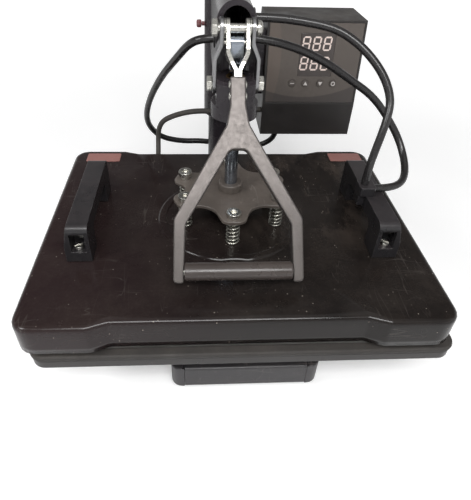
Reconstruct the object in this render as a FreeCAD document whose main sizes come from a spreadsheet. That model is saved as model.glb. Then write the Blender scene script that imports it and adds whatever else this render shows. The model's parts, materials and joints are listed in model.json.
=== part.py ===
import FreeCAD, Part
import Sketcher
import math
import os
import re
from types import SimpleNamespace
from FreeCAD import Placement, Rotation, Vector

# A table-top swing-away heat press. X runs to the right, Y to the back, Z up.
# The origin lies on the table, straight under the axis of the ram.

SIZES = {
    # the middle of the whole press on the table, seen from under the ram's axis
    "middle_right": 4.25, "middle_back": 38.5,
    # base, a frame of square-section rails on four feet
    "foot_height": 8, "foot_radius": 12, "foot_margin": 20,
    "rail_height": 30, "rail_width": 34, "rail_wall": 2.5, "cap_length": 14, "cap_corner": 11,
    "base_width": 156, "base_front": 147, "base_shift": 12,
    "rear_rail_width": 60, "post_reach": 186,
    # stand and lower platen
    "stand_plate": 6, "stand_depth": 90, "stand_bolt_inset": 14,
    "column_radius": 28, "column_height": 26,
    "head_plate_width": 160, "head_plate_depth": 120, "head_plate": 4,
    "lower_width": 400, "lower_depth": 316, "lower_thickness": 10, "lower_corner": 14,
    "lower_shift": 7.5, "pad_overhang": 1, "pad_thickness": 6,
    # post and the sleeve that swings on it
    "post_radius": 19, "post_wall": 3, "post_below_cap": 8,
    "flange_side": 56, "flange_thickness": 6, "flange_bolt_offset": 21,
    "collar_bottom": 172, "collar_height": 6, "thrust_gap": 0.3,
    "swing_radius": 25, "swing_bush_radius": 22, "swing_bush_length": 30, "swing_below_arm": 1,
    "cap_overhang": 1, "cap_thickness": 6, "running_fit": 0.05, "seat_gap": 0.05,
    # arm
    "arm_width": 36, "arm_wall": 5, "arm_height": 85, "arm_over_pivot": 20.7, "arm_front": 10,
    "cable_hole_radius": 6, "cable_hole_back": 40, "low_hole_drop": 19.3, "high_hole_drop": 0.3,
    "grommet_flange_radius": 8.5, "grommet_flange": 1.5, "cable_gap": 0.5,
    # ram sleeve, its bushes and the pivot above it
    "ram_radius": 6.8, "ram_sleeve_radius": 22.5, "ram_reach": 85, "ram_sleeve_height": 37,
    "ram_sleeve_chamfer": 2.5, "ram_bush_radius": 9, "ram_bush_length": 12,
    "sleeve_flat": 18, "sleeve_flat_height": 23, "pivot_over_sleeve": 41.3,
    "bracket_bolt_drop": 7, "bracket_thickness": 3.3, "bracket_side_gap": 0.3, "bracket_width": 18,
    "bracket_low_bend": 25, "bracket_high_bend": 12, "stack_gap": 0.2,
    "bolt_radius": 4, "hex_flats": 13, "hex_height": 5.3, "screw_depth": 7,
    "washer_radius": 8, "washer_thickness": 1.6,
    # handle
    "grip_drop": 175, "strap_gap": 14, "strap_thickness": 3.3, "strap_reach": 62,
    "fork_start": 42, "fork_thickness": 10.5, "stem_half": 6.8, "stem_straight": 66,
    "flare_start": 83, "flare_half": 10, "elbow_before_grip": 47.6, "elbow_half": 58,
    "leg_past_grip": 10.1, "leg_end_half": 59.5, "window_start": 105, "window_nose": 7,
    "inner_elbow_before_grip": 42.6, "inner_elbow_half": 47.5, "grip_half": 50, "leg_corner": 4,
    "elbow_round": 12, "slot_gap": 0.25, "grip_distance": 213.6, "grip_radius": 8.5,
    "grip_rod_radius": 4, "grip_gap": 0.3,
    "rivet_radius": 2, "rivet_head_radius": 3.6, "rivet_head": 1.4, "rivet_first": 48,
    "rivet_pitch": 10,
    # toggle between handle and ram
    "crank": 12, "link_length": 21, "link_width": 12.2, "pin_radius": 3, "crank_pin_head": 1.2,
    "eye_radius": 4.9, "eye_back": 1.1, "eye_up": 1.1, "eye_wall": 1.9, "link_end_radius": 6.1,
    "tongue_thickness": 5.6, "tongue_width": 12, "tongue_over_pin": 5.5, "tongue_gap": 0.3,
    "tongue_slot": 9.2, "shoulder_drop": 9.7, "ram_tail": 10,
    # star plate and its hardware
    "star_thickness": 4, "lobe_radius": 11, "star_waist": 0.86, "waist_round": 20,
    "side_waist_round": 11,
    "bolt_front": 52.5, "bolt_side": 49.5, "bolt_side_back": 21.5,
    "star_collar_radius": 13, "star_collar_height": 9, "ram_nut_flats": 22, "ram_nut_height": 8,
    "head_radius": 7.5, "head_height": 5, "shank_radius": 4, "shank_gap": 0.5,
    "spacer_height": 4.2, "spacer_radius": 5.5, "shank_seat": 7,
    "spring_length": 29, "spring_radius": 6.2, "spring_wire": 2, "spring_turns": 6, "spring_gap": 0.3,
    # heated platen
    "cover_width": 400, "cover_depth": 320, "cover_middle": -9.5, "cover_height": 32,
    "cover_wall": 2, "cover_corner": 18, "cover_edge": 5,
    "step_depth": 6.5, "step_inside": 116, "step_outside": 134, "step_round": 12,
    "ring_half_width": 80, "ring_half_depth": 77.5, "ring_band": 9, "ring_height": 1,
    "ring_middle": -8,
    "platen_gap": 0.3, "platen_inset": 8, "heat_thickness": 14, "heat_corner": 12,
    "element_radius": 3, "element_gap": 0.2, "element_side": 40, "element_front": 30,
    "element_turn": 24, "element_open": 40,
    "sheet_gap": 0.4, "sheet_thickness": 16.7, "sheet_inset": 5,
    # side handles on the cover
    "side_handle_inset": 34, "side_handle_width": 25, "side_handle_height": 42,
    "side_handle_front": -82.5, "side_handle_length": 133, "side_foot": 27, "side_bar": 16,
    "side_round": 7, "side_taper": 5, "side_taper_drop": 24, "side_pocket_depth": 16, "side_pocket_wall": 4,
    "screw_seat": 12, "screw_roof": 9, "screw_head_radius": 4.5, "screw_head": 3.5, "screw_radius": 2.5,
    # control box
    "box_left": 52, "box_width": 124, "box_front": 160.5, "box_depth": 80,
    "box_drop": 176.3, "box_height": 144, "box_lip": 43, "box_slope": 12, "box_wall": 2,
    "panel_margin": 3, "display_left": 43, "display_width": 44, "display_low": 36,
    "display_height": 51, "window_gap": 0.2, "window_sink": 0.2,
    "button_radius": 4.5, "button_up_slope": 27, "button_gap": 0.15, "button_stand": 1.2,
    "button_flange": 1.5, "button_drop": 0.8, "set_button": 37, "raise_button": 54.5,
    "lower_button": 74, "start_button": 91, "board_gap": 6, "board_thickness": 1.6, "board_inset": 6,
    "bracket_bar_width": 14, "bracket_bar_rise": 50, "bracket_bar_height": 80,
    "switch_width": 12, "switch_height": 22, "switch_depth": 7, "switch_gap": 0.6,
    "switch_tilt": 8, "switch_back": 44, "switch_rise": 30, "switch_pin": 0.3, "switch_pin_radius": 1,
    "inlet_width": 30, "inlet_height": 24, "inlet_depth": 16, "inlet_wall": 3, "inlet_left": 40,
    "inlet_rise": 18, "inlet_flange": 4, "inlet_plate": 1.6,
    "fuse_radius": 6, "fuse_cap_radius": 8, "fuse_cap": 6, "fuse_length": 22, "fuse_left": 92,
    # the clamp in which two cables end, the entry of the third, and the cables
    "clamp_over": 7.5, "clamp_reach": 9, "clamp_depth": 20, "clamp_height": 10, "clamp_drop": 12,
    "clamp_back": -23, "clamp_round": 3, "cable_radius": 4, "sensor_radius": 3.5,
    "rear_entry_left": 92, "rear_entry_drop": 22, "rear_entry_radius": 7, "rear_entry_length": 3,
    "lock_screw_drop": 41.3, "lock_stud_radius": 2.5, "lock_stud": 3.5, "lock_knob_radius": 4.5,
    "lock_knob": 6.3,
}

# Heights and places that follow from the sizes, written as sums and differences of them.
LEVELS = {
    "base_top": "foot_height + rail_height",
    "stand_top": "base_top + stand_plate",
    "head_plate_bottom": "stand_top + column_height",
    "lower_bottom": "head_plate_bottom + head_plate",
    "pad_bottom": "lower_bottom + lower_thickness",
    "pad_width": "lower_width + pad_overhang + pad_overhang",
    "pad_depth": "lower_depth + pad_overhang + pad_overhang",
    "heat_width": "cover_width - cover_wall - cover_wall - platen_inset - platen_inset",
    "heat_depth": "cover_depth - cover_wall - cover_wall - platen_inset - platen_inset",
    "element_width": "heat_width - element_side - element_side",
    "element_depth": "heat_depth - element_front - element_front",
    "sheet_width": "heat_width - sheet_inset - sheet_inset",
    "sheet_depth": "heat_depth - sheet_inset - sheet_inset",
    "heat_bottom": "pad_bottom + pad_thickness + platen_gap",
    "heat_top": "heat_bottom + heat_thickness",
    "element_height": "heat_top + element_gap + element_radius",
    "sheet_bottom": "element_height + element_radius + sheet_gap",
    "cover_inside": "sheet_bottom + sheet_thickness + sheet_gap",
    "cover_top": "cover_inside + cover_wall",
    "cover_bottom": "cover_top - cover_height",
    "shank_bottom": "heat_top - shank_seat",
    "star_bottom": "cover_top + spring_length",
    "star_top": "star_bottom + star_thickness",
    "spacer_top": "star_top + spacer_height",
    "ram_bottom": "star_bottom - ram_tail",
    "ram_sleeve_bottom": "star_top + ram_reach",
    "ram_sleeve_top": "ram_sleeve_bottom + ram_sleeve_height",
    "flat_bottom": "ram_sleeve_top - sleeve_flat_height",
    "bracket_bolt_height": "ram_sleeve_top - bracket_bolt_drop",
    "pivot_height": "ram_sleeve_top + pivot_over_sleeve",
    "elbow_distance": "grip_distance - elbow_before_grip",
    "inner_elbow_distance": "grip_distance - inner_elbow_before_grip",
    "leg_end": "grip_distance + leg_past_grip",
    "crank_height": "pivot_height - crank",
    "ram_pin_height": "crank_height - link_length",
    "ram_shoulder": "ram_pin_height - shoulder_drop",
    "arm_top": "pivot_height + arm_over_pivot",
    "arm_bottom": "arm_top - arm_height",
    "low_hole": "pivot_height - low_hole_drop",
    "high_hole": "pivot_height - high_hole_drop",
    "swing_bottom": "collar_bottom + collar_height + thrust_gap",
    "swing_top": "arm_top - swing_below_arm",
    "post_top": "swing_top - post_below_cap",
    "post_bottom": "base_top + flange_thickness",
    "box_bottom": "pivot_height - box_drop",
    "box_top": "box_bottom + box_height",
    "box_right": "box_left + box_width",
    "box_back": "box_front + box_depth",
    "side_handle_inside": "cover_width/2 - side_handle_inset - side_handle_width",
    "side_handle_top": "cover_top + side_handle_height",
    "lock_screw_height": "pivot_height - lock_screw_drop",
}

doc = FreeCAD.newDocument("heat_press")
sheet = doc.addObject("Spreadsheet::Sheet", "Sizes")
for row, (alias, number) in enumerate(SIZES.items(), 1):
    sheet.set(f"A{row}", alias)
    sheet.set(f"B{row}", str(number))
    sheet.setAlias(f"B{row}", alias)
doc.recompute()
at = SimpleNamespace(**{alias: float(sheet.get(alias)) for alias in SIZES})
for level, terms in LEVELS.items():
    total = 0.0
    for word in terms.replace("- ", "-").replace("+ ", "").split():
        alias, _, share = word.strip("-").partition("/")
        total += getattr(at, alias) / float(share or 1) * (-1 if word.startswith("-") else 1)
    setattr(at, level, total)

TO_RIGHT = Rotation(Vector(0, 1, 0), 90)
TO_BACK = Rotation(Vector(1, 0, 0), -90)
UPRIGHT = Rotation()
nodes = {}


def named(text):
    """Open up each level into its sizes, and write the sheet's name before each size."""
    def replace(word):
        if word.group(0) in LEVELS:
            return "(" + named(LEVELS[word.group(0)]) + ")"
        return "Sizes." + word.group(0) if word.group(0) in SIZES else word.group(0)
    return re.sub(r"[a-z][a-z_]*", replace, str(text))


def bind(item, **sizes):
    for prop, text in sizes.items():
        item.setExpression(prop, named(text))


def put(item, x, y, z, turn=UPRIGHT):
    item.Placement = Placement(Vector(), turn)
    for axis, text in zip("xyz", (x, y, z)):
        item.setExpression("Placement.Base." + axis, named(text))
    return item


def box(name, x, y, z, length, width, height):
    item = doc.addObject("Part::Box", name)
    bind(item, Length=length, Width=width, Height=height)
    return put(item, x, y, z)


def rod(name, x, y, z, radius, height, turn=UPRIGHT):
    item = doc.addObject("Part::Cylinder", name)
    bind(item, Radius=radius, Height=height)
    return put(item, x, y, z, turn)


def hexagon(name, x, y, z, flats, height, turn=UPRIGHT):
    item = doc.addObject("Part::Prism", name)
    item.Polygon = 6
    bind(item, Circumradius=f"({flats}) / sqrt(3)", Height=height)
    return put(item, x, y, z, turn)


def fuse(name, *items):
    joined = doc.addObject("Part::MultiFuse", name)
    joined.Shapes = list(items)
    return joined


def group(name, *items):
    together = doc.addObject("Part::Compound", name)
    together.Links = list(items)
    return together


def cut(name, base, *tools):
    result = doc.addObject("Part::Cut", name)
    result.Base = base
    result.Tool = tools[0] if len(tools) == 1 else group(name + "_tools", *tools)
    return result


def tube(name, x, y, z, radius, bore, height, turn=UPRIGHT):
    """A round tube, the bore made a little longer than the wall at both ends."""
    outer = rod(name + "_outer", x, y, z, radius, height, turn)
    reach = turn.multVec(Vector(0, 0, 1))
    start = [f"({text}) - {step:.0f}" for text, step in zip((x, y, z), reach)]
    inner = rod(name + "_bore", *start, bore, f"({height}) + 2", turn)
    return cut(name, outer, inner)


def shaped(name, shape):
    """A piece whose shape is worked out in this file from the same sizes."""
    item = doc.addObject("Part::Feature", name)
    item.Shape = shape
    return item


def keep(label, item):
    """Name a finished piece, and carry it from the ram's axis to the middle of the press."""
    piece = put(group(label + "_placed", item), "-middle_right", "-middle_back", 0)
    piece.Label = label
    nodes[label] = piece
    return item


def plane_of(body, role):
    return [item for item in body.Origin.OriginFeatures if item.Role == role][0]


def slab(label, x, y, z, width, depth, height, corner=None):
    """A plate: a rectangle about its middle, padded up, with its upright corners rounded."""
    body = doc.addObject("PartDesign::Body", label + "_body")
    sketch = body.newObject("Sketcher::SketchObject", label + "_outline")
    sketch.AttachmentSupport = [(plane_of(body, "XY_Plane"), "")]
    sketch.MapMode = "FlatFace"
    corners = [Vector(-9, -9), Vector(9, -9), Vector(9, 9), Vector(-9, 9)]
    for index in range(4):
        sketch.addGeometry(Part.LineSegment(corners[index], corners[(index + 1) % 4]))
    for index in range(4):
        sketch.addConstraint(Sketcher.Constraint("Coincident", index, 2, (index + 1) % 4, 1))
    for index, kind in enumerate(("Horizontal", "Vertical", "Horizontal", "Vertical")):
        sketch.addConstraint(Sketcher.Constraint(kind, index))
    sketch.addConstraint(Sketcher.Constraint("Symmetric", 0, 1, 2, 1, -1, 1))
    across = sketch.addConstraint(Sketcher.Constraint("DistanceX", 0, 1, 0, 2, 18))
    along = sketch.addConstraint(Sketcher.Constraint("DistanceY", 1, 1, 1, 2, 18))
    sketch.setExpression(f"Constraints[{across}]", named(width))
    sketch.setExpression(f"Constraints[{along}]", named(depth))
    pad = body.newObject("PartDesign::Pad", label + "_pad")
    pad.Profile = sketch
    bind(pad, Length=height)
    doc.recompute()
    if corner:
        upright = [f"Edge{index}" for index, edge in enumerate(pad.Shape.Edges, 1)
                   if abs(edge.tangentAt(edge.FirstParameter).z) > 0.9]
        rounding = body.newObject("PartDesign::Fillet", label + "_corners")
        rounding.Base = (pad, upright)
        bind(rounding, Radius=corner)
    return put(body, x, y, z)


def rounded(points):
    """A closed wire through corners, given as (x, y, radius), each corner turned with an arc."""
    count = len(points)
    starts, ends, middles = [], [], []
    for index in range(count):
        here = Vector(*points[index][:2], 0)
        before = (Vector(*points[index - 1][:2], 0) - here).normalize()
        after = (Vector(*points[(index + 1) % count][:2], 0) - here).normalize()
        radius = points[index][2]
        half = before.getAngle(after) / 2
        reach = radius / math.tan(half)
        toward = (before + after).normalize()
        starts.append(here + before * reach)
        ends.append(here + after * reach)
        middles.append(here + toward * (radius / math.sin(half) - radius))
    edges = []
    for index in range(count):
        if points[index][2] > 0:
            edges.append(Part.Arc(starts[index], middles[index], ends[index]).toShape())
        following = starts[(index + 1) % count]
        if (following - ends[index]).Length > 1e-6:
            edges.append(Part.LineSegment(ends[index], following).toShape())
    return Part.Wire(edges)


def prism(wire, low, high):
    """Fill a flat wire and give it thickness from low to high."""
    face = Part.Face(wire)
    face.translate(Vector(0, 0, low))
    return face.extrude(Vector(0, 0, high - low))


def facing_side(shape):
    """Turn a shape drawn as (back, up) with its thickness along the third axis to lie along X."""
    turn = Rotation(Vector(0, 1, 0), Vector(0, 0, 1), Vector(1, 0, 0), "XYZ")
    result = shape.copy()
    result.Placement = Placement(Vector(), turn).multiply(result.Placement)
    return result


def mirrored(shape):
    return shape.mirror(Vector(), Vector(1, 0, 0))


def arc_middle(start, tangent, end):
    """The middle of the arc that leaves start along tangent and reaches end."""
    chord = end - start
    along = Vector(chord).normalize()
    side = (tangent - along * tangent.dot(along)).normalize()
    rise = chord.Length / 2 * math.tan(tangent.getAngle(along) / 2)
    return start + chord * 0.5 + side * rise


def arc_from(start, tangent, end):
    return Part.Arc(start, arc_middle(start, tangent, end), end).toShape()


def biarc(start, leaving, end, arriving):
    """Two arcs that join smoothly and carry one point and direction to the next."""
    span = end - start
    total = leaving + arriving
    spread = 2 * (1 - leaving.dot(arriving))
    reach = (math.sqrt(span.dot(total) ** 2 + spread * span.dot(span)) - span.dot(total)) / spread
    joint = (start + end + (leaving - arriving) * reach) * 0.5
    middle = arc_middle(end, arriving * -1, joint)
    return [arc_from(start, leaving, joint), Part.Arc(joint, middle, end).toShape()]


def tube_along(edges, radius):
    """One unbroken round tube along a path of lines and arcs."""
    path = Part.Wire(edges)
    start, ahead = edges[0].Vertexes[0].Point, edges[0].Vertexes[1].Point
    ring = Part.Wire(Part.Circle(start, ahead - start, radius).toShape())
    return path.makePipeShell([ring], True, False), path.Length


def least_gap(edges, diameter):
    """Least space between turns of a path, measured on points a third of a diameter apart."""
    points, places, run = [], [], 0.0
    for edge in edges:
        count = max(2, int(edge.Length / (diameter / 3)))
        samples = edge.discretize(count)
        for before, here in zip(samples, samples[1:]):
            run += (here - before).Length
            points.append(here)
            places.append(run)
    apart = 3 * diameter
    return min((points[a] - points[b]).Length for a in range(len(points))
               for b in range(a + 1, len(points)) if places[b] - places[a] > apart) - diameter


def spring_edges():
    """A coil with straight ends one wire diameter long, on biarcs of a quarter turn."""
    wire, radius = at.spring_wire, at.spring_radius
    height = at.spring_length - 2 * at.spring_gap
    low, high = 2 * wire, height - 2 * wire
    quarters = int(4 * at.spring_turns)
    pitch = (high - low) / (quarters - 2) * 4
    stations = [(Vector(radius, 0, wire), Vector(0, 0, 1))]
    for quarter in range(1, quarters):
        angle = math.pi / 2 * quarter
        rise = pitch / (2 * math.pi * radius)
        leaving = Vector(-math.sin(angle), math.cos(angle), rise).normalize()
        place = Vector(radius * math.cos(angle), radius * math.sin(angle),
                       low + pitch * (quarter - 1) / 4)
        stations.append((place, leaving))
    last = math.pi / 2 * quarters
    stations.append((Vector(radius * math.cos(last), radius * math.sin(last), height - wire),
                     Vector(0, 0, 1)))
    edges = [Part.LineSegment(Vector(radius, 0, 0), stations[0][0]).toShape()]
    for (start, leaving), (end, arriving) in zip(stations, stations[1:]):
        edges += biarc(start, leaving, end, arriving)
    top = stations[-1][0]
    edges.append(Part.LineSegment(top, top + Vector(0, 0, wire)).toShape())
    return edges


def cord_edges(label, points, diameter):
    """Straight runs joined by arcs as large as their runs allow; prints each bend's radius."""
    places = [Vector(*point) for point in points]
    edges, radii, here = [], [], places[0]
    for before, corner, after in zip(places, places[1:], places[2:]):
        back, ahead = before - corner, after - corner
        turn = math.pi - back.getAngle(ahead)
        shorter = min(back.Length, ahead.Length)
        reach = 0.45 * shorter
        radii.append(reach / math.tan(turn / 2))
        start = corner + back.normalize() * reach
        end = corner + ahead.normalize() * reach
        edges.append(Part.LineSegment(here, start).toShape())
        edges.append(arc_from(start, (corner - start).normalize(), end))
        here = end
    edges.append(Part.LineSegment(here, places[-1]).toShape())
    print(label, "bend radii in diameters", [round(radius / diameter, 1) for radius in radii])
    return edges


def cord(label, points, radius):
    edges = cord_edges(label, points, 2 * radius)
    shape, length = tube_along(edges, radius)
    print(label, "length", round(length), "volume over section times length",
          round(shape.Volume / (math.pi * radius ** 2 * length), 4))
    return keep(label, shaped(label + "_tube", shape))


# The base: rails, caps and feet
HALF = "base_width / 2"
LEFT = "base_shift - base_width / 2"


def rail(label, x, y, length, width, end_x, end_y):
    """A hollow rail; the ends are the walls left across X and Y, less than 0 where it is open."""
    outer = box(label + "_outer", x, y, "foot_height", length, width, "rail_height")
    inner = box(label + "_inside", f"{x} + {end_x}", f"{y} + {end_y}", "foot_height + rail_wall",
                f"{length} - 2 * {end_x}", f"{width} - 2 * {end_y}", "rail_height - 2 * rail_wall")
    return cut(label + "_rail", outer, inner)


def base_bolt_places():
    """Where the bolts pass: four through the stand into the side rails, four through the flange."""
    side = "(base_width - rail_width) / 2"
    reach = "(stand_depth / 2 - stand_bolt_inset)"
    for sign_x in ("-", "+"):
        for sign_y in ("-", "+"):
            yield (f"base_shift {sign_x} {side}", f"cover_middle {sign_y} {reach}", "stand_top",
                   "stand_plate")
            yield (f"0 {sign_x} flange_bolt_offset", f"post_reach {sign_y} flange_bolt_offset",
                   "post_bottom", "flange_thickness")


def bolt_holes(name, radius_text, depth_extra):
    """Rods that clear each base bolt, from its seat down through the wall of the rail."""
    return [rod(f"{name}_{index}", x, y, f"{seat} - {plate} - rail_wall - 1",
                radius_text, f"{plate} + rail_wall + {depth_extra}")
            for index, (x, y, seat, plate) in enumerate(base_bolt_places())]


def make_base():
    front = rail("front", f"{LEFT} + cap_length", "-base_front", "base_width - 2 * cap_length",
                 "rail_width", "(0 - 1)", "rail_wall")
    keep("base_front_rail", front)
    sides = []
    for label, x in (("left", LEFT), ("right", "base_shift + base_width / 2 - rail_width")):
        whole = rail(label, x, "rail_width - base_front", "rail_width",
                     "base_front - rail_width + post_reach - rear_rail_width / 2",
                     "rail_wall", "(0 - 1)")
        sides.append(cut(label + "_drilled", whole, *bolt_holes(label + "_hole",
                                                                "bolt_radius + seat_gap", 2)))
    keep("base_side_rails", group("side_rails", *sides))
    rear = rail("rear", LEFT, "post_reach - rear_rail_width / 2", "base_width", "rear_rail_width",
                "rail_wall", "rail_wall")
    keep("base_rear_rail", cut("rear_drilled", rear,
                               *bolt_holes("rear_hole", "bolt_radius + seat_gap", 2)))
    caps = []
    for side in (-1, 1):
        outside = at.base_shift + side * at.base_width / 2
        inside = outside - side * at.cap_length
        front_edge, back_edge = -at.base_front, at.rail_width - at.base_front
        outline = rounded([(outside, front_edge, at.cap_corner), (outside, back_edge, 0),
                           (inside, back_edge, 0), (inside, front_edge, 0)])
        caps.append(shaped(f"cap_{side}", prism(outline, at.foot_height, at.base_top)))
    keep("base_corner_caps", group("corner_caps", *caps))
    feet = [rod(f"foot_{index}", f"base_shift {side} ({HALF} - foot_margin)", y, 0,
                "foot_radius", "foot_height")
            for index, (side, y) in enumerate([("-", "foot_margin - base_front"),
                                               ("+", "foot_margin - base_front"),
                                               ("-", "post_reach"), ("+", "post_reach")])]
    keep("rubber_feet", group("feet", *feet))


def make_stand():
    plate = box("stand_foot", LEFT, "cover_middle - stand_depth / 2", "base_top",
                "base_width", "stand_depth", "stand_plate")
    column = rod("stand_column", 0, "cover_middle", "stand_top", "column_radius", "column_height")
    head = box("stand_head", "-head_plate_width / 2", "cover_middle - head_plate_depth / 2",
               "head_plate_bottom", "head_plate_width", "head_plate_depth", "head_plate")
    keep("platen_stand", cut("stand_drilled", fuse("stand", plate, column, head),
                             *bolt_holes("stand_hole", "bolt_radius + seat_gap", 2)))
    heads = []
    for index, (x, y, seat, plate) in enumerate(base_bolt_places()):
        head = hexagon(f"base_head_{index}", x, y, seat, "hex_flats", "hex_height")
        shank = rod(f"base_shank_{index}", x, y, f"{seat} - {plate} - rail_wall",
                    "bolt_radius", f"{plate} + rail_wall")
        heads.append(fuse(f"base_bolt_{index}", head, shank))
    keep("base_bolts", group("bolts_of_base", *heads))
    keep("lower_platen", slab("lower_platen", "lower_shift", "cover_middle", "lower_bottom",
                              "lower_width", "lower_depth", "lower_thickness", "lower_corner"))
    keep("silicone_pad", slab("silicone_pad", "lower_shift", "cover_middle", "pad_bottom",
                              "pad_width", "pad_depth", "pad_thickness",
                              "lower_corner + pad_overhang"))


def make_post():
    flange = box("flange", "-flange_side / 2", "post_reach - flange_side / 2", "base_top",
                 "flange_side", "flange_side", "flange_thickness")
    keep("post_flange", cut("flange_drilled", flange,
                            *bolt_holes("flange_hole", "bolt_radius + seat_gap", 2)))
    keep("post", tube("post_tube", 0, "post_reach", "post_bottom", "post_radius",
                      "post_radius - post_wall", "post_top - post_bottom"))
    keep("post_collar", tube("collar", 0, "post_reach", "collar_bottom", "swing_radius",
                             "post_radius + seat_gap", "collar_height"))


# The arm that swings about the post
def make_swing_sleeve():
    keep("swing_sleeve", tube("swing", 0, "post_reach", "swing_bottom", "swing_radius",
                              "swing_bush_radius + seat_gap", "swing_top - swing_bottom"))
    keep("sleeve_cap", rod("cap", 0, "post_reach", "swing_top", "swing_radius + cap_overhang",
                           "cap_thickness"))
    bushes = [tube(f"swing_bush_{index}", 0, "post_reach", z, "swing_bush_radius",
                   "post_radius + running_fit", "swing_bush_length")
              for index, z in enumerate(["swing_bottom", "swing_top - swing_bush_length"])]
    bushes += [tube(f"ram_bush_{index}", 0, 0, z, "ram_bush_radius", "ram_radius + running_fit",
                    "ram_bush_length")
               for index, z in enumerate(["ram_sleeve_bottom", "ram_sleeve_top - ram_bush_length"])]
    keep("plain_bushes", group("bushes", *bushes))
    stud = rod("lock_stud", "-swing_radius - lock_stud", "post_reach", "lock_screw_height",
               "lock_stud_radius", "lock_stud - seat_gap * 2", TO_RIGHT)
    knob = rod("lock_knob", "-swing_radius - lock_stud - lock_knob", "post_reach",
               "lock_screw_height", "lock_knob_radius", "lock_knob", TO_RIGHT)
    keep("lock_screw", fuse("lock", stud, knob))


def arch(name, half, spring_line, floor, front, back):
    """A round-topped channel section, drawn across and up, run from front to back."""
    top = Vector(0, spring_line + half, 0)
    edges = [Part.LineSegment(Vector(-half, floor, 0), Vector(half, floor, 0)).toShape(),
             Part.LineSegment(Vector(half, floor, 0), Vector(half, spring_line, 0)).toShape(),
             Part.Arc(Vector(half, spring_line, 0), top, Vector(-half, spring_line, 0)).toShape(),
             Part.LineSegment(Vector(-half, spring_line, 0), Vector(-half, floor, 0)).toShape()]
    shape = Part.Face(Part.Wire(edges)).extrude(Vector(0, 0, back - front))
    shape.rotate(Vector(), Vector(1, 0, 0), 90)
    shape.translate(Vector(0, back, 0))
    return shaped(name, shape)


def make_arm():
    half = at.arm_width / 2
    spring_line = at.arm_top - half
    outer = arch("arm_outside", half, spring_line, at.arm_bottom, at.arm_front, at.post_reach)
    inner = arch("arm_inside", half - at.arm_wall, spring_line, at.arm_bottom - 1,
                 at.arm_front - 1, at.post_reach + 1)
    tools = [inner,
             rod("arm_at_sleeve", 0, 0, "arm_bottom - 1", "ram_sleeve_radius + seat_gap",
                 "ram_sleeve_top - arm_bottom + 1"),
             rod("arm_at_post", 0, "post_reach", "arm_bottom - 1", "swing_radius + seat_gap",
                 "arm_height + 2")]
    for name, x, z in (("left_low", "-arm_width / 2 - 1", "low_hole"),
                       ("right_low", "arm_width / 2 - arm_wall - 1", "low_hole"),
                       ("right_high", "arm_width / 2 - arm_wall - 1", "high_hole")):
        tools.append(rod("hole_" + name, x, "cable_hole_back", z, "cable_hole_radius",
                         "arm_wall + 2", TO_RIGHT))
    keep("arm_housing", cut("housing", outer, *tools))
    grommets = []
    for name, side, z in (("left_low", -1, "low_hole"), ("right_low", 1, "low_hole"),
                          ("right_high", 1, "high_hole")):
        wall = "arm_width / 2 - arm_wall" if side > 0 else "-arm_width / 2"
        lip = "arm_width / 2" if side > 0 else "-arm_width / 2 - grommet_flange"
        body = rod("grommet_body_" + name, wall, "cable_hole_back", z,
                   "cable_hole_radius - seat_gap", "arm_wall", TO_RIGHT)
        flange = rod("grommet_flange_" + name, lip, "cable_hole_back", z,
                     "grommet_flange_radius", "grommet_flange", TO_RIGHT)
        bore = rod("grommet_bore_" + name, f"{wall} - 3", "cable_hole_back", z,
                   "cable_radius + cable_gap", "arm_wall + 6", TO_RIGHT)
        grommets.append(cut("grommet_" + name, fuse("grommet_solid_" + name, body, flange), bore))
    keep("cable_grommets", group("grommets", *grommets))


def make_ram_sleeve():
    outer = rod("ram_sleeve_outer", 0, 0, "ram_sleeve_bottom", "ram_sleeve_radius",
                "ram_sleeve_height - ram_sleeve_chamfer")
    top = doc.addObject("Part::Cone", "ram_sleeve_chamfered")
    bind(top, Radius1="ram_sleeve_radius", Radius2="ram_sleeve_radius - ram_sleeve_chamfer",
         Height="ram_sleeve_chamfer")
    put(top, 0, 0, "ram_sleeve_top - ram_sleeve_chamfer")
    bore = rod("ram_sleeve_bore", 0, 0, "ram_sleeve_bottom - 1", "ram_bush_radius + seat_gap",
               "ram_sleeve_height + 2")
    tools = [bore]
    for side, x in (("left", "-ram_sleeve_radius - 1"), ("right", "sleeve_flat")):
        tools.append(box("flat_" + side, x, "-ram_sleeve_radius", "flat_bottom",
                         "ram_sleeve_radius - sleeve_flat + 1", "2 * ram_sleeve_radius",
                         "sleeve_flat_height + 1"))
        start = "-sleeve_flat - 1" if side == "left" else "sleeve_flat - screw_depth - seat_gap"
        tools.append(rod("screw_hole_" + side, start, 0, "bracket_bolt_height",
                         "bolt_radius + seat_gap", "screw_depth + 1 + seat_gap", TO_RIGHT))
    keep("ram_sleeve", cut("sleeve", fuse("sleeve_solid", outer, top), *tools))


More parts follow.
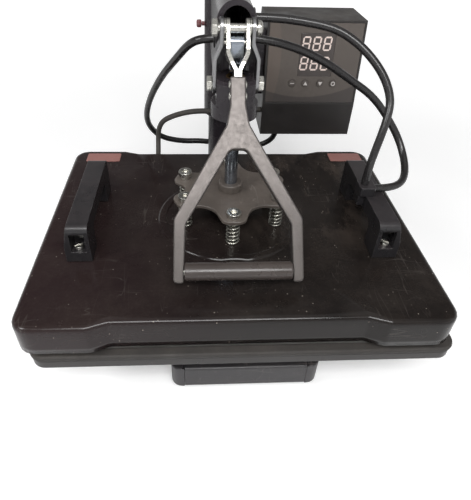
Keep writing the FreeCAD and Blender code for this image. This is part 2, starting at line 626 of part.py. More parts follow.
def bracket():
    """The right bracket: a strip joggled inwards from the sleeve's flat to the pivot."""
    low_in = at.sleeve_flat + at.seat_gap
    high_in = strap_outside() + 2 * at.stack_gap + at.washer_thickness
    wall = at.bracket_thickness
    low_z, high_z = at.pivot_height - at.bracket_low_bend, at.pivot_height - at.bracket_high_bend
    reach = at.bracket_width / 2
    bottom, top = at.bracket_bolt_height - reach, at.pivot_height + reach
    outline = rounded([(low_in, bottom, 0), (low_in + wall, bottom, 0),
                       (low_in + wall, low_z + 1.4, 5), (high_in + wall, high_z + 1.4, 3),
                       (high_in + wall, top, 0), (high_in, top, 0),
                       (high_in, high_z, 5), (low_in, low_z, 3)])
    strip = Part.Face(outline).extrude(Vector(0, 0, at.bracket_width))
    strip.rotate(Vector(), Vector(1, 0, 0), 90)
    strip.translate(Vector(0, reach, 0))
    sides = facing_side(prism(rounded([(-reach, bottom, reach - 0.01), (reach, bottom, reach - 0.01),
                                       (reach, top, reach - 0.01), (-reach, top, reach - 0.01)]),
                              0, low_in + wall + 1))
    shape = strip.common(sides)
    for height in (at.pivot_height, at.bracket_bolt_height):
        shape = shape.cut(Part.makeCylinder(at.bolt_radius + at.running_fit,
                                            2 * at.ram_sleeve_radius,
                                            Vector(0, 0, height), Vector(1, 0, 0)))
    return shape


def strap_outside():
    return at.strap_gap / 2 + at.strap_thickness


def make_pivot():
    right = bracket()
    keep("pivot_brackets", group("brackets", shaped("bracket_right", right),
                                 shaped("bracket_left", mirrored(right))))
    screws = []
    face = at.sleeve_flat + at.seat_gap + at.bracket_thickness
    for side in (-1, 1):
        head = Part.makeCylinder(at.hex_flats / 2, at.hex_height, Vector(face, 0, 0), Vector(1, 0, 0))
        shank = Part.makeCylinder(at.bolt_radius, face - at.sleeve_flat + at.screw_depth,
                                  Vector(at.sleeve_flat - at.screw_depth, 0, 0), Vector(1, 0, 0))
        screw = head.fuse(shank)
        screw.translate(Vector(0, 0, at.bracket_bolt_height))
        screws.append(shaped(f"bracket_bolt_{side}", screw if side > 0 else mirrored(screw)))
    keep("bracket_bolts", group("bolts_of_brackets", *screws))
    seat = "strap_gap / 2 + strap_thickness + 2 * stack_gap + washer_thickness + bracket_thickness"
    shank = rod("pivot_shank", f"-({seat}) - hex_height", 0, "pivot_height",
                "bolt_radius", f"2 * ({seat}) + hex_height + stack_gap", TO_RIGHT)
    head = rod("pivot_head", f"{seat} + stack_gap", 0, "pivot_height", "hex_flats / 2",
               "hex_height * 0.55", TO_RIGHT)
    dome = doc.addObject("Part::Cone", "pivot_dome")
    bind(dome, Radius1="hex_flats / 2", Radius2="hex_flats / 4", Height="hex_height * 0.45")
    put(dome, f"{seat} + stack_gap + hex_height * 0.55", 0, "pivot_height", TO_RIGHT)
    keep("pivot_bolt", fuse("pivot_bolt_solid", shank, head, dome))
    nut = hexagon("nut_outer", f"-({seat}) - stack_gap - hex_height", 0, "pivot_height",
                  "hex_flats", "hex_height", TO_RIGHT)
    nut_bore = rod("nut_bore", f"-({seat}) - stack_gap - hex_height - 1", 0, "pivot_height",
                   "bolt_radius + running_fit", "hex_height + 2", TO_RIGHT)
    keep("pivot_nut", cut("nut", nut, nut_bore))
    inside = "strap_gap / 2 + strap_thickness + stack_gap"
    washers = [tube(f"washer_{index}", x, 0, "pivot_height", "washer_radius",
                    "bolt_radius + running_fit", "washer_thickness", TO_RIGHT)
               for index, x in enumerate([inside, f"-({inside}) - washer_thickness"])]
    keep("pivot_washers", group("washers", *washers))


# The forked handle, drawn along its length and laid down at its closed angle
def handle_slope():
    """How far the closed handle dips below level, as an angle: its grip hangs grip_drop down."""
    return math.asin(at.grip_drop / at.grip_distance)


def handle_place():
    """Local Y runs from the pivot along the handle, local Z out of its back face."""
    turn = Rotation(Vector(1, 0, 0), 180 + math.degrees(handle_slope()))
    return Placement(Vector(0, 0, at.pivot_height), turn)


def fork_shape():
    half_end, half_elbow = at.leg_end_half, at.elbow_half
    right = [(at.stem_half, at.fork_start, 1.5), (at.stem_half, at.stem_straight, 6),
             (at.flare_half, at.flare_start, 14), (half_elbow, at.elbow_distance, at.elbow_round),
             (half_end, at.leg_end, at.leg_corner)]
    left = [(-x, y, radius) for x, y, radius in reversed(right)]
    half = at.fork_thickness / 2
    solid = prism(rounded(right + left), -half, half)
    inner_right = [(at.window_nose, at.window_start, at.window_nose - 1),
                   (at.inner_elbow_half, at.inner_elbow_distance, at.elbow_round - 4),
                   (at.grip_half, at.leg_end + 5, 0)]
    inner_left = [(-x, y, radius) for x, y, radius in reversed(inner_right)]
    window = prism(rounded(inner_right + inner_left), -half - 1, half + 1)
    slot_half = tail_half() + at.slot_gap
    slot = Part.makeBox(2 * slot_half, at.strap_reach - at.fork_start + 1 + at.slot_gap,
                        strap_tail_width() + 2 * at.slot_gap,
                        Vector(-slot_half, at.fork_start - 1, -strap_tail_width() / 2 - at.slot_gap))
    solid = solid.cut(window).cut(slot)
    for distance in (at.rivet_first, at.rivet_first + at.rivet_pitch):
        solid = solid.cut(across(at.rivet_radius + at.running_fit, 40, distance))
    return solid.cut(across(at.grip_rod_radius + at.running_fit, 4 * at.elbow_half,
                            at.grip_distance))


def across(radius, length, distance, back=0):
    """A rod along X about the handle's middle plane, at a distance from the pivot."""
    return Part.makeCylinder(radius, length, Vector(-length / 2, distance, back), Vector(1, 0, 0))


def tail_half():
    """Half the thickness of both strap tails lying together."""
    return at.strap_thickness + at.seat_gap


def strap_tail_width():
    return at.fork_thickness - 2.4


def crank_place():
    """The crank pin in the handle's own frame: straight under the pivot when closed."""
    return at.crank * math.sin(handle_slope()), at.crank * math.cos(handle_slope())


def strap_shape():
    """The right strap: flat beside the pivot, bent in to meet its twin and run into the stem."""
    inside, wall = at.strap_gap / 2, at.strap_thickness
    tail = at.seat_gap
    bend, meet, end = 22.5, at.fork_start - 6, at.strap_reach
    outline = rounded([(inside, -12, 0), (inside + wall, -12, 0), (inside + wall, bend + 1, 6),
                       (tail + wall, meet + 1, 4), (tail + wall, end, 0), (tail, end, 0),
                       (tail, meet, 6), (inside, bend, 4)])
    plate = prism(outline, -20, 20)
    crank_y, crank_z = crank_place()
    width, tail_z = 8, strap_tail_width() / 2
    lobe = crank_z + 6.5
    side = rounded([(-width, -width, width - 0.1), (-width, width, width - 0.1),
                    (crank_y - 6.4, lobe, 5), (crank_y + 6.4, lobe, 6), (28, tail_z, 8),
                    (end, tail_z, 0), (end, -tail_z, 0), (30, -tail_z, 8), (20, -width, 8)])
    profile = facing_side(prism(side, -1, inside + wall + 1))
    shape = plate.common(profile)
    shape = shape.cut(across(at.bolt_radius + at.running_fit, 4 * strap_outside(), 0))
    shape = shape.cut(across(at.pin_radius + at.running_fit, 4 * strap_outside(), crank_y, crank_z))
    for distance in (at.rivet_first, at.rivet_first + at.rivet_pitch):
        shape = shape.cut(across(at.rivet_radius + at.running_fit, 40, distance))
    return shape


def laid(name, shape):
    """A piece of the handle, moved from its drawing to its closed place."""
    item = shaped(name, shape)
    item.Placement = handle_place()
    return item


def make_handle():
    keep("handle_fork", laid("fork", fork_shape()))
    strap = strap_shape()
    keep("pivot_straps", group("straps", laid("strap_right", strap),
                               laid("strap_left", mirrored(strap))))
    rivets = []
    for index in range(2):
        distance = at.rivet_first + index * at.rivet_pitch
        rivet = across(at.rivet_radius, 2 * at.stem_half, distance)
        for start in (at.stem_half, -at.stem_half - at.rivet_head):
            rivet = rivet.fuse(Part.makeCylinder(at.rivet_head_radius, at.rivet_head,
                                                 Vector(start, distance, 0), Vector(1, 0, 0)))
        rivets.append(laid(f"rivet_{index}", rivet))
    keep("strap_rivets", group("rivets", *rivets))
    keep("grip_rod", laid("rod_of_grip", across(at.grip_rod_radius,
                                                2 * at.leg_end_half - 3, at.grip_distance)))
    length = 2 * (at.grip_half - at.grip_gap) - 1.2
    grip = across(at.grip_radius, length, at.grip_distance)
    grip = grip.cut(across(at.grip_rod_radius + at.running_fit, length + 2, at.grip_distance))
    keep("handle_grip", laid("tube_of_grip", grip))
    crank_y, crank_z = crank_place()
    pin = across(at.pin_radius, 2 * (strap_outside() + at.crank_pin_head), crank_y, crank_z)
    keep("crank_pin", laid("pin_of_crank", pin))


# The toggle link and the ram
def make_toggle():
    half = at.link_width / 2
    eye_y, eye_z = at.eye_back, at.ram_pin_height + at.eye_up
    eye_outer = at.eye_radius + at.eye_wall
    ends = [(0, at.crank_height, at.link_end_radius), (eye_y, eye_z, eye_outer)]
    rings = [Part.makeCylinder(radius, at.link_width, Vector(-half, y, z), Vector(1, 0, 0))
             for y, z, radius in ends]
    web = facing_side(prism(rounded([(-at.link_end_radius, at.crank_height, 0),
                                     (at.link_end_radius, at.crank_height, 0),
                                     (eye_y + eye_outer, eye_z, 0),
                                     (eye_y - eye_outer, eye_z, 0)]), -half, half))
    link = rings[0].fuse([rings[1], web])
    slot_half = at.tongue_thickness / 2 + at.tongue_gap
    slot_top = at.ram_pin_height + at.tongue_slot
    link = link.cut(Part.makeBox(2 * slot_half, 40, 40, Vector(-slot_half, -20, slot_top - 40)))
    link = link.cut(Part.makeCylinder(at.pin_radius + at.running_fit, 40,
                                      Vector(-20, 0, at.crank_height), Vector(1, 0, 0)))
    link = link.cut(Part.makeCylinder(at.eye_radius, 40, Vector(-20, eye_y, eye_z), Vector(1, 0, 0)))
    keep("toggle_link", shaped("link", link))


def make_ram():
    bar = rod("ram_bar", 0, 0, "ram_bottom", "ram_radius", "ram_shoulder - ram_bottom")
    tongue = box("ram_tongue", "-tongue_thickness / 2", "-tongue_width / 2", "ram_shoulder",
                 "tongue_thickness", "tongue_width", "shoulder_drop + tongue_over_pin")
    hole = rod("ram_pin_hole", "-tongue_thickness", 0, "ram_pin_height",
               "pin_radius + running_fit", "2 * tongue_thickness", TO_RIGHT)
    keep("ram_rod", cut("ram", fuse("ram_solid", bar, tongue), hole))
    keep("ram_pin", rod("pin_of_ram", "-link_width / 2 - stack_gap", 0, "ram_pin_height",
                        "pin_radius", "link_width + 2 * stack_gap", TO_RIGHT))
    collar = tube("star_collar", 0, 0, "star_top", "star_collar_radius",
                  "ram_radius + running_fit", "star_collar_height")
    nut = cut("star_nut", hexagon("star_nut_outer", 0, 0, "star_bottom - ram_nut_height",
                                  "ram_nut_flats", "ram_nut_height"),
              rod("star_nut_bore", 0, 0, "star_bottom - ram_nut_height - 1",
                  "ram_radius + running_fit", "ram_nut_height + 2"))
    keep("ram_nuts", group("nuts_of_ram", collar, nut))
    keep("star_plate", shaped("star", star_shape()))


def suspension_places():
    """The six suspension bolts, front first and then round to the left."""
    front, side, back = at.bolt_front, at.bolt_side, at.bolt_side_back
    return [(0, -front), (side, -back), (side, back), (0, front), (-side, back), (-side, -back)]


def star_shape():
    """Six rounded lobes over the bolts, with hollow sides drawn in between them."""
    corners = []
    places = suspension_places()
    for index, (x, y) in enumerate(places):
        spoke = Vector(x, y, 0)
        outward = Vector(spoke).normalize()
        aside = Vector(-outward.y, outward.x, 0)
        tip = spoke + outward * at.lobe_radius
        for sign in (-1, 1):
            corner = tip + aside * (sign * at.lobe_radius)
            corners.append((corner.x, corner.y, at.lobe_radius * 0.85))
        following = Vector(*places[(index + 1) % len(places)], 0)
        between = (spoke + following) * 0.5 * at.star_waist
        narrow = (spoke - following).Length < 2 * at.bolt_side_back + 1
        corners.append((between.x, between.y, at.side_waist_round if narrow else at.waist_round))
    plate = prism(rounded(corners), at.star_bottom, at.star_top)
    plate = plate.cut(Part.makeCylinder(at.ram_radius + at.running_fit, 20,
                                        Vector(0, 0, at.star_bottom - 5)))
    for x, y in places:
        plate = plate.cut(Part.makeCylinder(at.shank_radius + at.shank_gap, 20,
                                            Vector(x, y, at.star_bottom - 5)))
    return plate


# The heated platen that hangs from the star plate
def cover_outline(inset, height):
    """The cover seen from above: a rounded rectangle, its front and back drawn in at the middle."""
    half = at.cover_width / 2 - inset
    front = at.cover_middle - at.cover_depth / 2 + inset
    back = at.cover_middle + at.cover_depth / 2 - inset
    step, near, far = at.step_depth, at.step_inside, at.step_outside
    corner = max(at.cover_corner - inset, 1)
    right = [(near, front + step, at.step_round), (far, front, at.step_round),
             (half, front, corner), (half, back, corner), (far, back, at.step_round),
             (near, back - step, at.step_round)]
    left = [(-x, y, radius) for x, y, radius in reversed(right)]
    wire = rounded(right + left)
    wire.translate(Vector(0, 0, height))
    return wire


def make_cover():
    """Sheet steel pressed into a lid, with a raised oval ring round the suspension."""
    outer = Part.Face(cover_outline(0, at.cover_bottom)).extrude(Vector(0, 0, at.cover_height))
    rim = [edge for edge in outer.Edges if edge.BoundBox.ZMin > at.cover_top - 0.01]
    outer = outer.makeFillet(at.cover_edge, rim)
    inner = Part.Face(cover_outline(at.cover_wall, at.cover_bottom - 1)).extrude(
        Vector(0, 0, at.cover_inside - at.cover_bottom + 1))
    rim = [edge for edge in inner.Edges if edge.BoundBox.ZMin > at.cover_inside - 0.01]
    inner = inner.makeFillet(at.cover_edge - at.cover_wall, rim)
    cover = outer.cut(inner)
    ring = Part.Face(Part.Wire(Part.Ellipse(Vector(0, at.ring_middle, at.cover_top - 0.5),
                                            at.ring_half_width, at.ring_half_depth).toShape()))
    hollow = Part.Face(Part.Wire(Part.Ellipse(Vector(0, at.ring_middle, at.cover_top - 0.5),
                                              at.ring_half_width - at.ring_band,
                                              at.ring_half_depth - at.ring_band).toShape()))
    lift = Vector(0, 0, at.ring_height + 0.5)
    cover = cover.fuse(ring.extrude(lift).cut(hollow.extrude(lift)))
    for x, y in suspension_places():
        cover = cover.cut(Part.makeCylinder(at.shank_radius + at.shank_gap, 20,
                                            Vector(x, y, at.cover_top - 10)))
    for x, y in screw_places():
        cover = cover.cut(Part.makeCylinder(at.screw_radius + at.shank_gap, 20,
                                            Vector(x, y, at.cover_top - 10)))
    keep("platen_cover", shaped("cover", cover))


def make_heat_platen():
    plate = slab("heat_blank", 0, "cover_middle", "heat_bottom", "heat_width", "heat_depth",
                 "heat_thickness", "heat_corner")
    holes = [rod(f"platen_hole_{index}", x, y, "shank_bottom - shank_gap",
                 "shank_radius + running_fit", "heat_thickness")
             for index, (x, y) in enumerate(suspension_places())]
    keep("heat_platen", cut("heat_platen_drilled", plate, *holes))
    sheet_blank = slab("sheet_blank", 0, "cover_middle", "sheet_bottom", "sheet_width",
                       "sheet_depth", "sheet_thickness")
    holes = [rod(f"sheet_hole_{index}", x, y, "sheet_bottom - 1", "shank_radius + shank_gap",
                 "sheet_thickness + 2") for index, (x, y) in enumerate(suspension_places())]
    keep("insulation_sheet", cut("sheet_drilled", sheet_blank, *holes))
    edges, radius = [], at.element_turn
    half_x, half_y, opening = at.element_width / 2, at.element_depth / 2, at.element_open / 2
    corners = [Vector(-opening, half_y), Vector(-half_x, half_y), Vector(-half_x, -half_y),
               Vector(half_x, -half_y), Vector(half_x, half_y), Vector(opening, half_y)]
    lift = Vector(0, at.cover_middle, at.element_height)
    corners = [corner + lift for corner in corners]
    here = corners[0]
    for before, corner, after in zip(corners, corners[1:], corners[2:]):
        back, ahead = (before - corner).normalize(), (after - corner).normalize()
        start, end = corner + back * radius, corner + ahead * radius
        edges += [Part.LineSegment(here, start).toShape(), arc_from(start, back * -1, end)]
        here = end
    edges.append(Part.LineSegment(here, corners[-1]).toShape())
    keep("heating_element", shaped("element", tube_along(edges, at.element_radius)[0]))


def make_suspension():
    bolts, spacers, springs = [], [], []
    edges = spring_edges()
    coil = tube_along(edges, at.spring_wire / 2)[0]
    print("least gap between spring turns", round(least_gap(edges, at.spring_wire), 2))
    for index, (x, y) in enumerate(suspension_places()):
        seat = "spacer_top" if y > 0 else "star_top"
        head = rod(f"bolt_head_{index}", x, y, seat, "head_radius", "head_height")
        shank = rod(f"bolt_shank_{index}", x, y, "shank_bottom", "shank_radius",
                    f"{seat} - shank_bottom")
        bolts.append(fuse(f"suspension_bolt_{index}", head, shank))
        if y > 0:
            spacers.append(tube(f"spacer_{index}", x, y, "star_top", "spacer_radius",
                                "shank_radius + seat_gap", "spacer_height"))
        spring = shaped(f"spring_{index}", coil.copy())
        turn = Rotation(Vector(0, 0, 1), 60 * index)
        spring.Placement = Placement(Vector(x, y, at.cover_top + at.spring_gap), turn)
        springs.append(spring)
    keep("suspension_bolts", group("bolts_of_suspension", *bolts))
    keep("rear_spacers", group("spacers", *spacers))
    keep("suspension_springs", group("springs", *springs))


def screw_places():
    """The screws of the side handles, in front and behind on each side."""
    middle = at.side_handle_inside + at.side_handle_width / 2
    front = at.side_handle_front + at.side_pocket_depth / 2
    back = at.side_handle_front + at.side_handle_length - at.side_pocket_depth / 2
    return [(-middle, front), (-middle, back), (middle, front), (middle, back)]


def side_handle_shape():
    """The right handle: a bridge on two feet, with a pocket for a screw at each end."""
    front, back = at.side_handle_front, at.side_handle_front + at.side_handle_length
    low, high = at.cover_top, at.side_handle_top
    under = high - at.side_bar
    foot = at.side_foot
    outline = [(front, low, 1), (front, high, at.side_round), (back, high, at.side_round),
               (back, low, 1), (back - foot, low, 1), (back - foot, under, at.side_round),
               (front + foot, under, at.side_round), (front + foot, low, 1)]
    right = at.side_handle_inside + at.side_handle_width
    shape = facing_side(prism(rounded(outline), at.side_handle_inside, right))
    bevel = high - at.side_taper_drop
    spare = Part.makePolygon([Vector(right, front - 1, bevel), Vector(right + 1, front - 1, bevel),
                              Vector(right + 1, front - 1, high + 1),
                              Vector(right - at.side_taper, front - 1, high + 1),
                              Vector(right - at.side_taper, front - 1, high),
                              Vector(right, front - 1, bevel)])
    shape = shape.cut(Part.Face(spare).extrude(Vector(0, back - front + 2, 0)))
    inside = at.side_handle_inside + at.side_pocket_wall
    width = at.side_handle_width - 2 * at.side_pocket_wall - at.side_taper / 2
    height = at.side_handle_height - at.screw_seat - at.screw_roof
    for start in (front - 1, back - at.side_pocket_depth):
        shape = shape.cut(Part.makeBox(width, at.side_pocket_depth + 1, height,
                                       Vector(inside, start, low + at.screw_seat)))
    for x, y in screw_places():
        shape = shape.cut(Part.makeCylinder(at.screw_radius + at.shank_gap, at.screw_seat + 2,
                                            Vector(x, y, low - 1)))
    return shape


def make_side_handles():
    right = side_handle_shape()
    keep("side_handles", group("bridges", shaped("bridge_right", right),
                               shaped("bridge_left", mirrored(right))))
    screws = []
    for index, (x, y) in enumerate(screw_places()):
        head = rod(f"screw_head_{index}", x, y, "cover_top + screw_seat", "screw_head_radius",
                   "screw_head")
        shank = rod(f"screw_shank_{index}", x, y, "cover_inside", "screw_radius",
                    "cover_wall + screw_seat")
        screws.append(fuse(f"handle_screw_{index}", head, shank))
    keep("side_handle_screws", group("screws_of_handles", *screws))


def make_cable_entries():
    """A clamp over the inner top edge of the right handle, and an entry in the cover's back."""
    saddle = slab("clamp_saddle", "side_handle_inside + (clamp_reach - clamp_over) / 2",
                  "clamp_back", "side_handle_top", "clamp_over + clamp_reach", "clamp_depth",
                  "clamp_height", "clamp_round")
    cheek = box("clamp_cheek", "side_handle_inside - clamp_over",
                "clamp_back - clamp_depth / 2 + clamp_round", "side_handle_top - clamp_drop",
                "clamp_over - seat_gap", "clamp_depth - 2 * clamp_round", "clamp_drop")
    block = fuse("clamp", saddle, cheek)
    rear = rod("rear_entry", "-rear_entry_left",
               "cover_middle + cover_depth / 2", "cover_top - rear_entry_drop",
               "rear_entry_radius", "rear_entry_length", TO_BACK)
    keep("cable_entries", group("entries", block, rear))


# The control box
def box_profile():
    """The box from the side: an upright lip in front, then a face that leans back to the top."""
    front, back = at.box_front, at.box_back
    return Part.makePolygon([Vector(front, at.box_bottom), Vector(back, at.box_bottom),
                             Vector(back, at.box_top), Vector(front + at.box_slope, at.box_top),
                             Vector(front, at.box_bottom + at.box_lip),
                             Vector(front, at.box_bottom)])


def lean():
    return math.atan2(at.box_slope, at.box_height - at.box_lip)


def slope_length():
    return math.hypot(at.box_slope, at.box_height - at.box_lip)


def on_panel(name, shape):
    """Lay a shape on the leaning face: X across, Y up the face, Z out of it."""
    item = shaped(name, shape)
    turn = Rotation(Vector(1, 0, 0), 90 - math.degrees(lean()))
    item.Placement = Placement(Vector(at.box_left, at.box_front, at.box_bottom + at.box_lip), turn)
    return item


def block(x0, x1, y0, y1, z0, z1):
    return Part.makeBox(x1 - x0, y1 - y0, z1 - z0, Vector(x0, y0, z0))


def button_places():
    return {"set_button": at.set_button, "raise_button": at.raise_button,
            "lower_button": at.lower_button, "start_button": at.start_button}


def make_control_box():
    wall, margin = at.box_wall, at.panel_margin
    outer = facing_side(prism(box_profile(), at.box_left, at.box_right))
    inner_wire = box_profile().makeOffset2D(-wall)
    inner = facing_side(prism(inner_wire, at.box_left + wall, at.box_right - wall))
    gap = at.window_gap
    length = slope_length()
    opening = on_panel("panel_opening", block(margin - gap, at.box_width - margin + gap,
                                              margin - gap, length - margin + gap, -wall - 2, 1))
    rocker_y, rocker_z = at.box_front + at.switch_back, at.box_bottom + at.switch_rise
    clear = at.switch_gap
    rocker_hole = block(at.box_right - wall - 1, at.box_right + 1,
                        rocker_y - at.switch_width / 2 - clear, rocker_y + at.switch_width / 2 + clear,
                        rocker_z - at.switch_height / 2 - clear,
                        rocker_z + at.switch_height / 2 + clear)
    inlet_x, inlet_z = at.box_left + at.inlet_left, at.box_bottom + at.inlet_rise
    inlet_hole = block(inlet_x, inlet_x + at.inlet_width, at.box_back - wall - 1, at.box_back + 1,
                       inlet_z, inlet_z + at.inlet_height)
    fuse_x, fuse_z = at.box_left + at.fuse_left, inlet_z + at.inlet_height / 2
    fuse_hole = Part.makeCylinder(at.fuse_radius + at.seat_gap, wall + 2,
                                  Vector(fuse_x, at.box_back - wall - 1, fuse_z), Vector(0, 1, 0))
    shell = outer.cut([inner, opening.Shape, rocker_hole, inlet_hole, fuse_hole])
    doc.removeObject(opening.Name)
    keep("controller_shell", shaped("shell", shell))
    panel = block(margin, at.box_width - margin, margin, length - margin, -wall, 0)
    window = (at.display_left, at.display_left + at.display_width, at.display_low,
              at.display_low + at.display_height)
    panel = panel.cut(block(*window, -wall - 1, 1))
    for place in button_places().values():
        panel = panel.cut(Part.makeCylinder(at.button_radius + at.button_gap, wall + 2,
                                            Vector(place, at.button_up_slope, -wall - 1)))
    keep("controller_panel", on_panel("panel", panel))
    glass = block(window[0] + gap, window[1] - gap, window[2] + gap, window[3] - gap,
                  -wall, -at.window_sink)
    keep("display_window", on_panel("glass", glass))
    deep = wall + at.board_gap
    inset = at.board_inset
    board = block(inset, at.box_width - inset, inset + 3, length - inset - 3,
                  -deep - at.board_thickness, -deep)
    posts = [block(x, x + 3, y, y + 3, -deep, -wall)
             for x in (inset, at.box_width - inset - 3) for y in (inset + 3, length - inset - 6)]
    keep("control_board", on_panel("board", board.fuse(posts)))
    for label, place in button_places().items():
        centre = Vector(place, at.button_up_slope, 0)
        flange_top = -wall - at.window_gap
        cap = Part.makeCylinder(at.button_radius, at.button_stand - flange_top,
                                centre + Vector(0, 0, flange_top))
        flange = Part.makeCylinder(at.button_radius + at.button_flange, at.button_flange,
                                   centre + Vector(0, 0, flange_top - at.button_flange))
        keep(label, on_panel(label + "_cap", cap.fuse(flange)))
    make_rocker(rocker_y, rocker_z)
    flange = block(inlet_x - at.inlet_flange, inlet_x + at.inlet_width + at.inlet_flange,
                   at.box_back, at.box_back + at.inlet_plate,
                   inlet_z - at.inlet_flange, inlet_z + at.inlet_height + at.inlet_flange)
    gap = at.seat_gap
    body = block(inlet_x + gap, inlet_x + at.inlet_width - gap, at.box_back - at.inlet_depth,
                 at.box_back, inlet_z + gap, inlet_z + at.inlet_height - gap)
    rim = at.inlet_wall
    recess = block(inlet_x + rim, inlet_x + at.inlet_width - rim,
                   at.box_back - at.inlet_depth + rim, at.box_back + at.inlet_plate + 1,
                   inlet_z + rim, inlet_z + at.inlet_height - rim)
    keep("power_inlet", shaped("inlet", flange.fuse(body).cut(recess)))
    inside = Part.makeCylinder(at.fuse_radius, at.fuse_length,
                               Vector(fuse_x, at.box_back - at.fuse_length, fuse_z), Vector(0, 1, 0))
    cap = Part.makeCylinder(at.fuse_cap_radius, at.fuse_cap,
                            Vector(fuse_x, at.box_back, fuse_z), Vector(0, 1, 0))
    keep("fuse_holder", shaped("fuse", inside.fuse(cap)))
    bar = box("bracket_bar", 0, "post_reach - bracket_bar_width / 2", "box_bottom + bracket_bar_rise",
              "box_left", "bracket_bar_width", "bracket_bar_height")
    keep("controller_bracket", cut("bracket_of_box", bar,
                                   rod("bracket_at_sleeve", 0, "post_reach",
                                       "box_bottom + bracket_bar_rise - 1",
                                       "swing_radius + seat_gap", "bracket_bar_height + 2")))


def make_rocker(middle_y, middle_z):
    """A rocker switch in the right wall: a shallow saddle on a level pin, top end pressed."""
    half, deep, edge = at.switch_height / 2, at.switch_depth, -at.switch_width / 2
    corners = [(1.2, 0), (3.2, half), (-deep, half * 0.5), (-deep, -half * 0.5), (3.2, -half), (1.2, 0)]
    outline = Part.makePolygon([Vector(out, edge, up) for out, up in corners])
    saddle = Part.Face(outline).extrude(Vector(0, at.switch_width, 0))
    pin = Part.makeCylinder(at.switch_pin_radius, at.switch_width + 2 * at.switch_pin,
                            Vector(0, edge - at.switch_pin, 0), Vector(0, 1, 0))
    item = shaped("rocker", saddle.fuse(pin))
    turn = Rotation(Vector(0, 1, 0), -at.switch_tilt)
    item.Placement = Placement(Vector(at.box_right - at.box_wall, middle_y, middle_z), turn)
    keep("power_switch", item)


# The free cables; their points are chosen by hand
HEATER_CABLE = [(14, 40, 326), (38, 40, 326), (65, 39, 323.5), (95.5, 33, 319.5), (116.5, 25, 309.5),
                (133.5, 15, 296), (146, 5, 280.5), (152, -4, 264.5), (150, -11.5, 250.5),
                (146, -17.5, 235.5), (141.5, -22, 217), (139.5, -23, 199.5), (139.5, -23, 182)]
RETURN_CABLE = [(84, 205, 149.7), (84, 205, 128), (68, 209, 110), (40, 214, 103), (8, 217, 105),
                (-25, 217, 112), (-58, 215, 112), (-88, 209, 121), (-104, 199, 142),
                (-106, 182, 168), (-95, 150, 206), (-76, 109, 247), (-56, 70.5, 279.5),
                (-42.6, 47.2, 300.5), (-28, 40, 307), (0, 40.2, 307.2), (28, 40, 307),
                (63, 41.5, 303), (96, 45, 290), (126.5, 49, 271), (155, 50, 247.5),
                (176.5, 46, 224.5), (190.5, 37, 205), (196.5, 22.5, 188.5), (193.5, 3.5, 180.5),
                (184, -14, 177), (166.5, -23, 176.5), (150, -23, 176.5)]
SENSOR_CABLE = [(-92, 153.8, 108), (-92, 171, 108), (-92, 186.3, 120.9), (-91.3, 189.8, 140.6),
                (-84, 177.8, 160.6), (-69, 163, 174.5), (-50, 154, 184), (-28, 150, 188),
                (-2, 150, 186), (20, 155, 184), (37, 166, 182), (51.7, 169, 182)]


def make_cables():
    cord("heater_cable", HEATER_CABLE, at.cable_radius)
    cord("return_cable", RETURN_CABLE, at.cable_radius)
    cord("sensor_cable", SENSOR_CABLE, at.sensor_radius)


def main():
    make_base()
    make_stand()
    make_post()
    make_swing_sleeve()
    make_arm()
    make_ram_sleeve()
    make_pivot()
    make_handle()
    make_toggle()
    make_ram()
    make_cover()
    make_heat_platen()
    make_suspension()
    make_side_handles()
    make_cable_entries()
    make_control_box()
    make_cables()
    doc.recompute()
    bad = [item.Label for item in doc.Objects if {"Invalid", "Error"} & set(item.State)]
    bad += [label for label, item in nodes.items() if item.Shape.isNull() or not item.Shape.isValid()]
    if bad:
        raise RuntimeError("faulty pieces: " + ", ".join(bad))
    os.makedirs("parts", exist_ok=True)
    for label, item in nodes.items():
        item.Shape.exportStep(f"parts/{label}.step")
    print(len(nodes), "nodes written")


main()
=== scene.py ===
"""Looks of a swing-away heat press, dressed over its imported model.

Lengths are in metres. The sizes below count from the foot of the ram's axis, and put() carries
each new piece from there to the row frame.
"""

import json
import logging
import math
from dataclasses import dataclass
from enum import Enum
from typing import Iterable, Optional, Sequence

import bmesh
import bpy
import numpy as np
from mathutils import Matrix, Vector

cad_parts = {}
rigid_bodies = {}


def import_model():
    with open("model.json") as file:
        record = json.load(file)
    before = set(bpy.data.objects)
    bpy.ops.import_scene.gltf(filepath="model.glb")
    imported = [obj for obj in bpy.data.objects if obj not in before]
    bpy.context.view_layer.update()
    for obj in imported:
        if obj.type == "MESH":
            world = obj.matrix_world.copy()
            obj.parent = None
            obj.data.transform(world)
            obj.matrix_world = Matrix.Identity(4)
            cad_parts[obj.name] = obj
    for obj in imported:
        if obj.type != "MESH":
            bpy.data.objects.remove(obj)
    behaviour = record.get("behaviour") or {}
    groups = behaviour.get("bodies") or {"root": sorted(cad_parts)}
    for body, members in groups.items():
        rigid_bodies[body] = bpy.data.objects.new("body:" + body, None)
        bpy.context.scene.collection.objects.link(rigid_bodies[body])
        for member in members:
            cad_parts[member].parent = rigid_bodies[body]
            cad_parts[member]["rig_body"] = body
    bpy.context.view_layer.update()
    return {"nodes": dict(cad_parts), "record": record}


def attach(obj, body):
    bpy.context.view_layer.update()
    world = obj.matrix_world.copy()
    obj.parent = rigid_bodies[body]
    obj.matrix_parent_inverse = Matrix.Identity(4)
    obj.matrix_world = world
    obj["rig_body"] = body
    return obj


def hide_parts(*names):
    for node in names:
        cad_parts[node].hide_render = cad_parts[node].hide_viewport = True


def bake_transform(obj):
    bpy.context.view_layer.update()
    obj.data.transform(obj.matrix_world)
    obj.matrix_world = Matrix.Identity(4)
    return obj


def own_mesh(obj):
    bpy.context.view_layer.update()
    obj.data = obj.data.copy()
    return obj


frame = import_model()
log = logging.getLogger("heat press")

